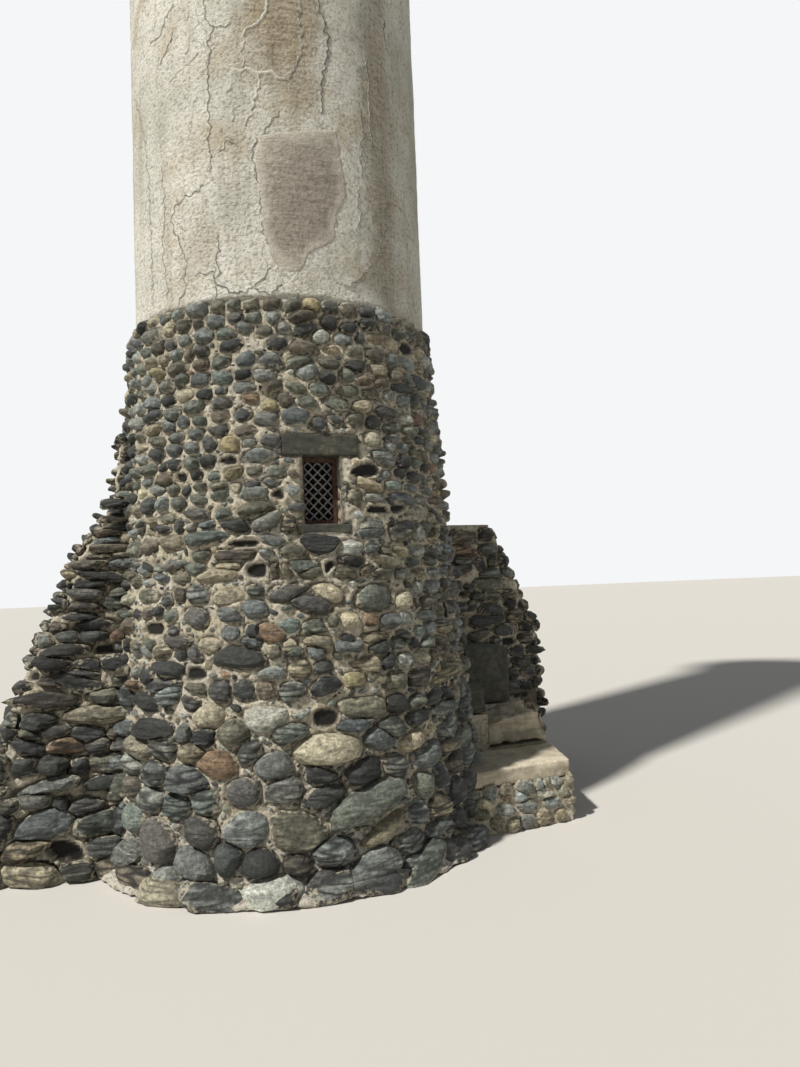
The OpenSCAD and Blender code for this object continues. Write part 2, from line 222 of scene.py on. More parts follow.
# %% [markdown]
# ## Noise and small helpers
# Rubble is never regular. Three kinds of chance are used: a seeded generator for sizes and
# places, Blender's own fractal noise for lumps on a surface, and a slow wave for courses that
# rise and fall. Every seed is fixed, so the tower comes out the same each time.

# %% Lumps, waves and helpers


def lumps(points, size, octaves=2):
    """Fractal noise, about -1 to 1, at each point, with lumps of about the size in metres."""
    flat = (np.asarray(points, float).reshape(-1, 3) / size).tolist()
    values = np.array([noise.fractal(p, 1.0, 2.0, octaves) for p in flat])
    return values.reshape(np.shape(points)[:-1])


def smooth_step(value, low, high):
    """0 below low, 1 above high, and a soft rise between them."""
    part = np.clip((value - low) / (high - low), 0, 1)
    return part * part * (3 - 2 * part)


def slow_wave(rng, turns=5):
    """A gentle wave along a course, as a function of the way round from 0 to 1."""
    phases = rng.uniform(0, TURN, turns)
    heights = rng.normal(0, 1, turns) / np.arange(1, turns + 1) ** 0.5
    return lambda u: sum(h * math.sin(TURN * (k + 1) * u + p)
                         for k, (h, p) in enumerate(zip(heights, phases)))


def unit(vectors):
    """Vectors at a length of 1."""
    return vectors / np.linalg.norm(vectors, axis=-1, keepdims=True)


def on_ring(r, turn, z):
    """Points at a radius, a turn and a height."""
    return np.stack([r * np.cos(turn), r * np.sin(turn), z + 0 * turn], -1)


def along_path(marks):
    """How far along a path each of its marks lies."""
    return np.concatenate([[0], np.cumsum(np.hypot(*np.diff(marks, axis=0).T))])


def ball_ways(sides, tilts):
    """Directions over a ball: straight out, rings at tilts from it in degrees, straight back."""
    tilt, turn = np.meshgrid(np.radians(tilts), np.arange(sides) * TURN / sides, indexing="ij")
    rings = np.stack([np.sin(tilt) * np.cos(turn), np.sin(tilt) * np.sin(turn), np.cos(tilt)], -1)
    return np.vstack([[[0, 0, 1]], rings.reshape(-1, 3), [[0, 0, -1]]])


# %% Pieces


def mesh_piece(name, points, faces, finish, crease=None):
    """A smooth mesh object at the origin, with its finish, creased where faces meet sharply."""
    mesh = bpy.data.meshes.new(name)
    mesh.from_pydata(np.asarray(points, float).reshape(-1, 3).tolist(), [], faces)
    mesh.materials.append(finish)
    mesh.polygons.foreach_set("use_smooth", np.full(len(mesh.polygons), True))
    if crease is not None:
        mesh.set_sharp_from_angle(angle=math.radians(crease))
    return show(name, mesh)


def grown_mesh(source, name):
    """The mesh that an object's modifiers make. The object and its modifiers go."""
    bpy.context.view_layer.update()
    mesh = bpy.data.meshes.new_from_object(source.evaluated_get(bpy.context.evaluated_depsgraph_get()))
    mesh.name = name
    source.modifiers.clear()
    bpy.data.objects.remove(source)
    return mesh


def paint_points(piece, name, values):
    """Stores a number or a colour for each point of a piece, for its finish to read."""
    values = np.ascontiguousarray(values, np.float32)
    wide = values.shape[-1] == 4 and values.size == 4 * len(piece.data.vertices)
    layer = piece.data.attributes.new(name, "FLOAT_COLOR" if wide else "FLOAT", "POINT")
    layer.data.foreach_set("color" if wide else "value", values.ravel())


def place_piece(piece, slot, *nodes):
    """Fixes a piece to the tower and hides the nodes that it stands for. The slot is not used."""
    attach(piece, "root")
    if nodes:
        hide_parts(*nodes)
    print(f"{piece.name}: {sum(len(p.vertices) - 2 for p in piece.data.polygons)} triangles")


# %% [markdown]
# ## Finish: beach stone
# The drum is built of whatever the beach gave: grey, green and dark slate, sandstone and a
# little quartz. One material serves them all. Each stone brings its own colour as an attribute,
# and the material adds what water and salt did: mottling, fine bedding lines, broken ridges, and
# a smear of mortar at the rim where the stone sits in its bed. The ridges are about 33 mm apart,
# the mottling is about 20 mm wide, the bedding 12 mm and the grain 4 mm. An attribute named split
# tells fresh, sharp breaks from water-worn cobbles. The patterns only darken, so the stone's own
# colour is doubled first, and it comes out on average as it's written.

# %% Beach stone


def new_finish(name, rough):
    """A fresh material, with its node tree, its shader and a socket for the place on the object."""
    finish = bpy.data.materials.new(name)
    finish.use_nodes = True
    shader = finish.node_tree.nodes["Principled BSDF"]
    shader.inputs["Roughness"].default_value = rough
    return finish, finish.node_tree, shader, add(finish.node_tree, "ShaderNodeTexCoord").outputs["Object"]


def darkened(tree, colour, *layers):
    """Multiplies a colour by patterns, each with its amount and its stops from dark to light."""
    for pattern, amount, *stops in layers:
        tint = add(tree, RAMP, {0: pattern}, stops).outputs[0]
        colour = add(tree, MIX, {0: amount, 6: colour, 7: tint},
                     data_type="RGBA", blend_type="MULTIPLY").outputs[2]
    return colour


def dressed(tree, shader, colour, *layers):
    """Gives a shader its colour and relief. Each layer is a height from 0 to 1, its depth in metres
    and a strength."""
    tree.links.new(colour, shader.inputs["Base Color"])
    below = None
    for height, depth, strength in layers:
        sockets = {"Height": height, "Distance": depth, "Strength": strength}
        if below is not None:
            sockets["Normal"] = below
        below = add(tree, "ShaderNodeBump", sockets).outputs[0]
    tree.links.new(below, shader.inputs["Normal"])


beach_stone, tree, shader, place = new_finish("beach_stone", 0.7)
own = add(tree, STORED, attribute_name="own_colour").outputs["Color"]
rim, split = (add(tree, STORED, attribute_name=name).outputs["Fac"] for name in ("rim", "split"))
flat_place = add(tree, MAPPING, {"Vector": place, "Scale": (0.2, 0.2, 1)}).outputs[0]
mottle = add(tree, NOISE, {"Vector": place, "Scale": 45, "Detail": 5, "Roughness": 0.65}).outputs[0]
bedding = add(tree, NOISE, {"Vector": flat_place, "Scale": 80, "Detail": 3, "Distortion": 0.6}).outputs[0]
grain = add(tree, NOISE, {"Vector": place, "Scale": 250, "Detail": 3, "Roughness": 0.7}).outputs[0]
broken = add(tree, NOISE, {"Vector": flat_place, "Scale": 30, "Detail": 4, "Distortion": 0.3},
             noise_type="RIDGED_MULTIFRACTAL").outputs[0]
lifted = add(tree, MIX, {0: 1.0, 6: own, 7: (2.02, 2.1, 2.07, 1)}, data_type="RGBA",
             blend_type="MULTIPLY").outputs[2]
colour = darkened(tree, lifted,
                  (mottle, 1.0, (0.3, "#858585"), (0.5, "#cacaca"), (0.7, "#ffffff")),
                  (bedding, 0.6, (0.35, "#a0a0a0"), (0.6, "#ffffff")),
                  (broken, split, (0.0, "#5e5e5e"), (0.05, "#c8c8c8"), (0.12, "#ffffff")),
                  (grain, 0.7, (0.3, "#a8a8a8"), (0.55, "#ffffff")))
smear = add(tree, RANGE, {0: mottle, 1: 0.40, 2: 0.6}).outputs[0]
smear = add(tree, MATH, {0: smear, 1: rim}, operation="MULTIPLY").outputs[0]
smear = add(tree, RANGE, {0: smear, 1: 0.3, 2: 0.75, 3: 0.0, 4: 0.85}).outputs[0]
colour = add(tree, MIX, {0: smear, 6: colour, 7: paint("#b3aa96")}, data_type="RGBA").outputs[2]
ragged = add(tree, RANGE, {0: split, 3: 0.35, 4: 1.0}).outputs[0]
dressed(tree, shader, colour,
        (broken, 0.018, ragged), (bedding, 0.010, ragged), (mottle, 0.020, 0.8), (grain, 0.003, 0.7))

# %% [markdown]
# ## Finish: sandy mortar
# The mortar is beach sand and lime, so it's buff and full of grit. Hollows and empty sockets are
# painted dark as painted shade, stored for each point, more the deeper it lies, as an attribute;
# how much pale lime it holds is one named lime. Clods are 25 mm, grit 5 mm.

# %% Mortar
sandy_mortar, tree, shader, place = new_finish("sandy_mortar", 0.95)
painted_shade, lime = (add(tree, STORED, attribute_name=name).outputs["Fac"] for name in ("painted_shade", "lime"))
clouds, clods, grit = (
    add(tree, NOISE, {"Vector": place, "Scale": scale, "Detail": detail, "Roughness": rough}).outputs[0]
    for scale, detail, rough in ((6, 4, 0.5), (42, 5, 0.65), (190, 4, 0.75)))
colour = add(tree, RAMP, {0: clouds}, [
    (0.3, "#c4bba3"), (0.46, "#dcd3bc"), (0.6, "#e8e1ce"), (0.75, "#d5ccb5")]).outputs[0]
colour = add(tree, MIX, {0: lime, 6: colour, 7: paint("#dedacf")}, data_type="RGBA").outputs[2]
colour = darkened(tree, colour,
                  (grit, 0.5, (0.3, "#7d786c"), (0.48, "#ffffff")),
                  (clods, 0.65, (0.34, "#655f52"), (0.53, "#ffffff")))
# Painted shade: low mortar and empty sockets are darkened towards near black
colour = add(tree, MIX, {0: painted_shade, 6: colour, 7: paint("#1c1914")}, data_type="RGBA").outputs[2]
dressed(tree, shader, colour, (clods, 0.030, 1.0), (grit, 0.006, 0.8))

# %% [markdown]
# ## Faces to build on
# Every masonry face is described the same way: a function that takes how far round we are and
# how high, and gives the point on the face. The drum is a battered ring. The buttress and the
# wing wall are piers: a straight side out, a rounded corner, an end, and a side back. The steps
# follow the outline of their slab. From such a function the mason's three directions follow:
# along the course, up the face, and out of it.

# %% Masonry faces


def drum_face(u, z):
    """The drum's face, from 0 to 1 once round, starting behind the tower."""
    return on_ring(drum_r(z), TURN * u + math.pi / 2, z)


def turned(out, across, z, turn):
    """Points given by how far out they lie in a direction and how far across it."""
    out, across, z = np.broadcast_arrays(out, across, z)
    return np.stack([out * math.cos(turn) - across * math.sin(turn),
                     out * math.sin(turn) + across * math.cos(turn), z], -1)


def pier_face(turn, middle, half, reach, corner, start):
    """The face of a pier that runs out from the tower in a direction, from 0 to 1 round it."""
    def face(u, z):
        u, z = np.broadcast_arrays(np.asarray(u, float), np.asarray(z, float))
        h, far, c, near = half(z), reach(z), corner(z), start(z)
        side = far - c - near
        bend = c * math.pi / 2
        end = 2 * (h - c)
        s = u * (2 * side + 2 * bend + end)
        first = np.clip((s - side) / bend, 0, 1) * math.pi / 2
        second = np.clip((s - side - bend - end) / bend, 0, 1) * math.pi / 2
        out = near + np.clip(s, 0, side) + c * np.sin(first) - c * (1 - np.cos(second))
        out = out - np.clip(s - side - 2 * bend - end, 0, side)
        across = -h + c * (1 - np.cos(first)) + np.clip(s - side - bend, 0, end) + c * np.sin(second)
        return turned(out, middle + across, z, turn)
    return face


def path_face(turn, path):
    """An upright face along a path of places given as out and across in a direction."""
    marks = np.array(path, float)
    along = along_path(marks)

    def face(u, z):
        u, z = np.broadcast_arrays(np.asarray(u, float), np.asarray(z, float))
        s = u * along[-1]
        return turned(np.interp(s, along, marks[:, 0]), np.interp(s, along, marks[:, 1]), z, turn)
    return face


def face_axes(face, u, z):
    """Point, along, up and out of a face at one or many places."""
    du, dz = 1e-4, 1e-3
    along = unit(face(u + du, z) - face(u - du, z))
    up = unit(face(u, z + dz) - face(u, z - dz))
    out = unit(np.cross(along, up))
    return face(u, z), along, np.cross(out, along), out


def face_length(face, z, steps=400):
    """How long a face is, once along it at a height."""
    return np.linalg.norm(np.diff(face(np.linspace(0, 1, steps), np.full(steps, z)), axis=0), axis=1).sum()


# %% The buttress's and the wing wall's faces
BUTTRESS_LOW, BUTTRESS_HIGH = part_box("seaward_buttress")
BUTTRESS_H = BUTTRESS_HIGH.z
BUTTRESS_HALF = BUTTRESS_HIGH.y
BUTTRESS_HEAD_HALF = 0.385
BUTTRESS_TOE = -BUTTRESS_LOW.x
KNEE_Z = 1.764
SHOULDER_Z = 2.058


def buttress_half(z):
    return BUTTRESS_HALF + (BUTTRESS_HEAD_HALF - BUTTRESS_HALF) * z / BUTTRESS_H


def buttress_reach(z):
    return np.interp(z, [0, KNEE_Z, SHOULDER_Z, BUTTRESS_H],
                     [BUTTRESS_TOE, FOOT_R + 0.081, drum_r(SHOULDER_Z) + 0.02, drum_r(BUTTRESS_H)])


def buttress_start(z):
    return np.sqrt(drum_r(z) ** 2 - buttress_half(z) ** 2) - 0.07


def buttress_corner(z):
    return np.interp(z, [0, 0.8, 1.7, 2.1, BUTTRESS_H], [0.24, 0.17, 0.1, 0.04, 0.02])


buttress_face = pier_face(math.pi, 0, buttress_half, buttress_reach, buttress_corner, buttress_start)

WING_T = 0.33
WING_NEAR = 0.42
WING_MIDDLE = WING_NEAR + WING_T / 2
WING_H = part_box("cliffside_wall")[1].z
WING_END_H = 1.1
WING_REACH = FOOT_R + 1.01
WING_CREST_REACH = FOOT_R + 0.61


def wing_reach(z):
    return np.interp(z, [0, WING_END_H, WING_H], [WING_REACH, WING_REACH, WING_CREST_REACH])


def wing_start(z):
    return np.sqrt(drum_r(z) ** 2 - (WING_MIDDLE + WING_T / 2) ** 2) - 0.04


wing_face = pier_face(DOOR_TURN, WING_MIDDLE, lambda z: WING_T / 2 + 0 * z, wing_reach,
                      lambda z: 0.06 + 0 * z, wing_start)
print("buttress toe", np.round(buttress_face(0.5, 0.0), 3), "wing end", np.round(wing_face(0.5, 0.5), 3))

# %% [markdown]
# ## The mason's eye
# Stones aren't scattered, they're laid: each course has a height, each stone takes the width it
# has, and the next one starts after a finger of mortar. Courses wave, stones lean, and none is
# laid over an opening.

# %% Stone colours
# Each kind: its colour, and its share in the drum, at the drum's foot, in buttress and wing wall,
# and under the steps
STONES = {
    "blue slate": ("#6d7170", 13, 18, 10, 0),
    "dark slate": ("#4a4c4a", 13, 14, 32, 0),
    "black stone": ("#323331", 8, 5, 20, 0),
    "green stone": ("#6f7369", 14, 15, 8, 8),
    "olive stone": ("#6f6d5f", 16, 12, 12, 12),
    "brown stone": ("#686054", 9, 8, 14, 0),
    "tan sandstone": ("#9a907b", 12, 5, 6, 18),
    "cream stone": ("#b8af99", 5, 0, 2, 20),
    "white quartz": ("#c6c5bb", 1.5, 0, 0, 8),
    "grey stone": ("#878984", 15, 17, 9, 22),
    "rust stone": ("#8f765f", 1.2, 0, 1.2, 2),
    "ochre stone": ("#a59876", 1.5, 0, 0, 0),
    "purple stone": ("#605e5b", 5, 6, 5, 0),
    "teal stone": ("#7b837b", 3, 5, 0, 0),
    "pale blue stone": ("#8a8f8d", 6, 8, 0, 12),
    "red stone": ("#776159", 0.5, 0, 0, 0),
}
DRUM_MIX, FOOT_MIX, PIER_MIX, STEP_MIX = (
    {name: row[place] for name, row in STONES.items() if row[place]} for place in (1, 2, 3, 4))
WARMTH = 0.025


def shade(rng, name, spread=0.16):
    """A stone kind's colour, a little lighter or darker, warmer or cooler than its fellows."""
    warm = rng.normal(0, WARMTH)
    base = np.array(paint(STONES[name][0])[:3]) * math.exp(rng.normal(0, spread))
    return tuple(np.clip(base * (1 + warm, 1, 1 - warm), 0.01, 0.7)) + (1.0,)


def pick_colour(rng, mix):
    """The colour of a stone picked from a mix."""
    names = sorted(mix)
    weights = np.array([mix[n] for n in names], float)
    return shade(rng, names[rng.choice(len(names), p=weights / weights.sum())])


# %% Laying a stone and a wall


def lay_stone(face, u, z, wide, tall, proud, lean, colour, rng, power=7.0, tip=4.0):
    """One stone on a face: its half-sizes, its three axes and how it is bedded."""
    pos, along, up, out = face_axes(face, u, z)
    a = math.radians(lean)
    x_axis = along * math.cos(a) + up * math.sin(a)
    y_axis = up * math.cos(a) - along * math.sin(a)
    nod, sway = np.radians(rng.normal(0, tip, 2))
    z_axis = unit(out + x_axis * math.sin(sway) + y_axis * math.sin(nod))
    x_axis = unit(np.cross(y_axis, z_axis))
    return {
        "z": z, "pos": pos, "axes": (x_axis, np.cross(z_axis, x_axis), z_axis),
        "spread": (wide / 2, tall / 2, proud), "colour": colour, "power": power,
        "lap": rng.uniform(0, 1), "empty": False, "fill": 1.06, "joint": 0.012,
    }


def crowded(stone, others, slack):
    """Whether a stone would overlap any of the others on the wall."""
    if not others:
        return False
    gap = np.array([o["pos"] for o in others]) - stone["pos"]
    sizes = np.array([o["spread"] for o in others])
    along = (gap @ stone["axes"][0]) / (sizes[:, 0] + stone["spread"][0])
    up = (gap @ stone["axes"][1]) / (sizes[:, 1] + stone["spread"][1])
    return bool((np.hypot(along, up) < slack).any())


def bend_limited(face, u, z, wide, length, most=0.018):
    """The stone's width, cut down where the face turns a corner so that its ends don't stick out."""
    while wide > 0.05:
        ends = face(np.array([u - wide / length / 2, u + wide / length / 2]), np.array([z, z]))
        if np.linalg.norm(ends.mean(axis=0) - face(u, z)) < most:
            break
        wide *= 0.85
    return wide


def lay_courses(face, z_low, z_high, look, mix, rng, blocked, known=()):
    """Courses of stones up a face. look(z) gives the course's sizes, blocked() where none goes."""
    stones = list(known)
    z = z_low
    while z < z_high:
        sizes = look(z)
        tall = sizes["tall"] * math.exp(rng.normal(0, 0.1))
        middle = z + tall / 2
        wave = slow_wave(rng)
        length = face_length(face, middle)
        s = rng.uniform(0, sizes["wide"] / 2)
        while s < length:
            wide = sizes["wide"] * math.exp(rng.normal(0, sizes["spread"]))
            u = min((s + wide / 2) / length, 1.0)
            wide = bend_limited(face, u, middle, wide, length)
            u = (s + wide / 2) / length
            s += wide + sizes["gap"]
            if u > 1:
                break
            height = tall * rng.uniform(*sizes["fit"])
            rise = wave(u) * sizes["wave"] + rng.normal(0, 0.12) * tall
            at_z = min(max(middle + rise, height * 0.4), z_high - height * 0.3)
            if blocked(face(u, at_z), wide, height):
                continue
            stone = lay_stone(face, u, at_z, wide, height, sizes["proud"] * math.exp(rng.normal(0, 0.22)),
                              rng.normal(0, sizes["lean"]), pick_colour(rng, mix(at_z)), rng,
                              rng.uniform(*sizes["power"]), sizes["tip"])
            stone["fill"] = rng.uniform(*sizes["fill"])
            stone["joint"] = sizes["joint"]
            if crowded(stone, known, slack=0.66):
                continue
            if rng.random() < sizes["empty"]:
                stone.update(empty=True, power=3.0)
            stones.append(stone)
        z += tall + sizes["rise"]
    return stones


# %% [markdown]
# ## A stone that fits its neighbours
# A rock can be made from flats: a ray from its middle leaves it where it meets the nearest flat,
# and softening that choice rounds the edges. A high power keeps sharp arrises, as on split
# slate, and a low one gives a beach cobble. For laid rubble the side flats come from the wall
# itself. Halfway to each neighbour stands a joint, and the stone ends there, so stones close up
# as they do where a mason has picked each one to fit.

# %% Fitting stones
# How far off stones are looked at, how far out of the face a neighbour may lie, both in metres,
# and how far off it may be in sizes of the two stones
NEIGHBOURHOOD = 0.9
SAME_FACE = 0.12
TOUCHING = 1.9
# Directions in which a stone's outline is kept, and how much a rock swells to make up for rounding
OUTLINE_TURNS = np.linspace(-math.pi, math.pi, 33)
SWELL = 0.7


def rounded_reach(ways, flats, reach, power, least=0):
    """How far the flats let each direction go. A low power rounds the edges between them."""
    return (np.clip(ways @ flats.T / reach, least, None) ** power).sum(axis=1) ** (-1 / power)


def fit_stones(stones):
    """Gives each stone the flats that its neighbours leave it, and its outline on the wall."""
    pos = np.array([s["pos"] for s in stones])
    half = np.array([s["spread"][:2] for s in stones])
    size = np.sqrt(half[:, 0] * half[:, 1])
    ring = np.stack([np.cos(OUTLINE_TURNS), np.sin(OUTLINE_TURNS)], -1)
    for i, stone in enumerate(stones):
        gap = pos - pos[i]
        steps_off = np.abs(gap).sum(axis=1)
        same_face = np.abs(gap @ stone["axes"][2]) < SAME_FACE
        near = np.flatnonzero((steps_off < NEIGHBOURHOOD) & (steps_off > 0) & same_face)
        gap = gap[near]
        local = np.stack([gap @ stone["axes"][0], gap @ stone["axes"][1]], -1)
        both = half[near] + half[i]
        scaled = local / both
        far = np.linalg.norm(scaled, axis=1)
        close = far < TOUCHING
        direction = scaled[close] / far[close, None]
        share = size[i] / (size[i] + size[near][close])
        slope = direction / both[close]
        steep = np.linalg.norm(slope, axis=1)
        normals = slope / steep[:, None]
        distances = share * far[close] / steep - stone["joint"] / 2
        lean = np.random.default_rng(i).normal(0, 0.2, 4)
        own = unit(np.array([[1, lean[0]], [-1, lean[1]], [lean[2], 1], [lean[3], -1]]))
        reach = stone["fill"] * np.array([half[i, 0], half[i, 0], half[i, 1], half[i, 1]])
        least = 0.4 * np.linalg.norm(normals * half[i], axis=1)
        stone["flats"] = np.vstack([normals, own])
        stone["flat_reach"] = np.concatenate([np.maximum(distances, least), reach])
        outline = rounded_reach(ring, stone["flats"], stone["flat_reach"], stone["power"])
        stone["outline"] = (1 + SWELL / stone["power"]) * outline


def rock_points(stone, rng, sides, tilts):
    """The points of one fitted rock: rings from its face round to its back, and two poles. Its
    flats are facets round the face, the sides that its neighbours leave, a front and a back."""
    wide, tall, proud = stone["spread"]
    power = stone["power"]
    count = 6
    around = rng.uniform(0, TURN) + TURN * (np.arange(count) + rng.uniform(-0.3, 0.3, count)) / count
    dip = np.radians(rng.uniform(30, 62, count))
    facets = np.stack([np.sin(dip) * np.cos(around), np.sin(dip) * np.sin(around), np.cos(dip)], -1)
    facet_reach = np.linalg.norm(facets * (wide, tall, proud), axis=1) * rng.uniform(0.88, 1.2, count)
    sides_out = unit(np.column_stack([stone["flats"], np.full(len(stone["flats"]), 0.16)]))
    front = unit(np.array([[rng.normal(0, 0.12), rng.normal(0, 0.16), 1.0], [0, 0, -1.0]]))
    flats = np.vstack([sides_out, facets, front])
    reach = np.concatenate([stone["flat_reach"], facet_reach, [proud * 0.93, 0.03]])
    ways = unit(ball_ways(sides, tilts) * (wide, tall, proud))
    radius = rounded_reach(ways, flats, reach, power)
    most = np.array([1.35 * wide, 1.35 * tall, 1.1 * proud])
    return np.clip(ways * (radius * (1 + SWELL / power))[:, None], -most, most)


def rock_faces(sides, rings):
    """Faces over one rock's points, turned outwards."""
    faces = [(0, 1 + i, 1 + (i + 1) % sides) for i in range(sides)]
    for ring in range(rings - 1):
        first = 1 + ring * sides
        for i in range(sides):
            j = (i + 1) % sides
            faces.append((first + i, first + sides + i, first + sides + j, first + j))
    last = 1 + (rings - 1) * sides
    return faces + [(last + i, last + sides, last + (i + 1) % sides) for i in range(sides)]


# How finely a rock is cut: points round it, and the tilts of its rings in degrees
FINE = (16, (18, 36, 54, 70, 84, 104))
PLAIN = (12, (28, 50, 70, 86, 106))
COARSE = (10, (34, 62, 84, 106))


def rock_piece(name, stones, detail, seed):
    """All stones of a wall as one piece, each with its colour and its rim."""
    rng = np.random.default_rng(seed)
    points, faces, colours, rims, splits = [], [], [], [], []
    first = 0
    for stone in stones:
        sides, tilts = detail(stone)
        local = rock_points(stone, rng, sides, tilts)
        faces += [tuple(first + k for k in face) for face in rock_faces(sides, len(tilts))]
        first += len(local)
        points.append(stone["pos"] + local @ np.array(stone["axes"]))
        rims.append(1 - smooth_step(local[:, 2], 0.012, 0.034))
        colours.append(np.tile(stone["colour"], (len(local), 1)))
        splits.append(np.full(len(local), np.clip((stone["power"] - 6) / 8, 0.1, 1)))
    points = np.vstack(points)
    outward = unit(points - np.repeat([s["pos"] for s in stones], [len(r) for r in rims], axis=0))
    split = np.concatenate(splits)
    relief = 0.007 * lumps(points, 0.05, 2) + 0.0035 * lumps(points, 0.02, 1)
    relief += 0.011 * split * lumps(points * (0.4, 0.4, 1.0), 0.03, 1)
    points += outward * relief[:, None]
    points[:, 2] = np.maximum(points[:, 2], 0.0)
    piece = mesh_piece(name, points, faces, beach_stone, 30)
    paint_points(piece, "own_colour", np.vstack(colours))
    paint_points(piece, "rim", np.concatenate(rims))
    paint_points(piece, "split", split)
    return piece


def build_wall(name, face, z_high, look, mix, blocked, seeds, detail, slot="rubble"):
    """Lays, fits and cuts the stones of a wall, and returns them with those that fell out."""
    stones = lay_courses(face, 0.0, z_high, look, mix, np.random.default_rng(seeds[0]), blocked)
    fit_stones(stones)
    in_place = [s for s in stones if not s["empty"]]
    place_piece(rock_piece(name, in_place, lambda stone: detail, seeds[1]), slot)
    return stones


# %% [markdown]
# ## The drum's stones
# The drum changes as it climbs, and its looks are read from a short table by height: close-set
# boulders of two hands' width at the foot, flat and slabby stones in the middle, round cobbles
# above. Some stones are large or bright enough to be known by sight, and they're laid first.

# %% Stones known by sight
# Direction from the camera's side in degrees, height, width and height of the stone in metres,
# lean in degrees, how proud it stands, kind of stone, and how sharp its edges are
KNOWN = [
    (8.7, 0.715, 0.40, 0.16, 2, 0.085, "cream stone", 6),
    (-21.0, 0.667, 0.25, 0.125, -4, 0.06, "rust stone", 9),
    (-6.3, 0.650, 0.21, 0.125, 6, 0.06, "blue slate", 7),
    (-14.5, 1.199, 0.38, 0.115, -4, 0.05, "black stone", 7),
    (-6.2, 1.304, 0.19, 0.10, -12, 0.04, "rust stone", 10),
    (-13.4, 0.526, 0.17, 0.15, 12, 0.055, "purple stone", 6),
    (-3.0, 0.535, 0.21, 0.12, 3, 0.05, "grey stone", 12),
    (17.5, 0.420, 0.53, 0.16, 20, 0.085, "green stone", 10),
    (23.0, 0.275, 0.34, 0.095, 18, 0.06, "tan sandstone", 9),
    (18.5, 0.110, 0.45, 0.16, 12, 0.10, "grey stone", 12),
    (-27.0, 0.172, 0.22, 0.19, -30, 0.10, "blue slate", 7),
    (-17.5, 0.225, 0.16, 0.15, 40, 0.085, "dark slate", 6),
    (-9.6, 0.185, 0.19, 0.18, -20, 0.10, "black stone", 6),
    (-26.4, 0.052, 0.28, 0.12, 0, 0.10, "teal stone", 6),
    (-6.9, 0.060, 0.34, 0.16, 14, 0.11, "white quartz", 9),
    (-39.3, 0.255, 0.28, 0.22, -35, 0.08, "purple stone", 7),
    (-49.0, 0.345, 0.20, 0.15, 0, 0.06, "teal stone", 7),
    (-36.0, 0.080, 0.22, 0.16, 20, 0.08, "pale blue stone", 7),
    (37.0, 0.445, 0.13, 0.18, 0, 0.08, "green stone", 6),
    (34.5, 0.680, 0.20, 0.11, 8, 0.06, "cream stone", 6),
    (35.5, 1.434, 0.12, 0.11, 0, 0.06, "cream stone", 6),
    (24.8, 1.460, 0.23, 0.15, 0, 0.04, "green stone", 5),
    (16.2, 1.050, 0.15, 0.08, 4, 0.045, "ochre stone", 6),
    (5.5, 1.455, 0.23, 0.10, -3, 0.05, "purple stone", 12),
    (-11.1, 1.436, 0.15, 0.10, 0, 0.05, "blue slate", 6),
    (-27.7, 1.401, 0.15, 0.10, -8, 0.045, "purple stone", 6),
    (-16.6, 1.31, 0.13, 0.09, 0, 0.05, "blue slate", 6),
    (-7.7, 0.880, 0.21, 0.12, 8, 0.055, "white quartz", 9),
    (-23.9, 0.898, 0.19, 0.13, 20, 0.055, "cream stone", 7),
    (11.8, 2.884, 0.115, 0.095, 12, 0.055, "white quartz", 6),
    (19.6, 2.878, 0.12, 0.075, -8, 0.045, "pale blue stone", 6),
    (-1.9, 2.834, 0.118, 0.082, 0, 0.045, "black stone", 5),
    (-17.0, 2.837, 0.135, 0.08, 22, 0.045, "black stone", 6),
    (-22.2, 2.980, 0.12, 0.088, 10, 0.05, "blue slate", 6),
    (-15.3, 2.988, 0.118, 0.08, 0, 0.045, "purple stone", 6),
    (-18.7, 2.907, 0.125, 0.065, 0, 0.045, "teal stone", 6),
    (7.6, 2.690, 0.14, 0.095, 0, 0.05, "pale blue stone", 7),
    (-10.6, 2.544, 0.09, 0.07, -18, 0.04, "rust stone", 6),
    (-4.4, 2.502, 0.105, 0.075, 8, 0.045, "ochre stone", 6),
    (28.2, 2.334, 0.105, 0.078, 0, 0.055, "cream stone", 5),
    (-17.2, 2.302, 0.125, 0.11, 0, 0.05, "ochre stone", 6),
    (-20.7, 2.452, 0.118, 0.10, 0, 0.035, "brown stone", 5),
    (8.2, 1.752, 0.27, 0.105, 0, 0.04, "black stone", 12),
]
# Empty sockets, painted dark as shade by the mortar: direction from the camera's side in degrees, height,
# width and height in metres
KNOWN_HOLES = [(-8.9, 1.631, 0.13, 0.09), (-27.6, 1.109, 0.12, 0.10), (8.7, 0.86, 0.13, 0.10),
               (-12.6, 1.765, 0.20, 0.05), (-18.2, 2.212, 0.12, 0.05)]


def seen_turn(azimuth):
    """The drum face's u for a direction given from the camera's side, in degrees."""
    return ((math.radians(azimuth - 90) - math.pi / 2) / TURN) % 1.0


print(len(KNOWN), "stones are laid by sight")

# %% Where no stone goes
# Near sides of the slab and of the steps above it, across the doorway's direction, and the
# heights up to which they hide the drum. Their far side is the wing wall's near side.
STEP_NEAR, SLAB_HIDES = -0.765, 0.33
UPPER_STEPS_NEAR, UPPER_STEPS_HIDE = -0.25, 0.75


def in_frame(point, turn):
    """How far out a point lies in a direction, and how far across it."""
    c, s = math.cos(turn), math.sin(turn)
    return point[..., 0] * c + point[..., 1] * s, point[..., 1] * c - point[..., 0] * s


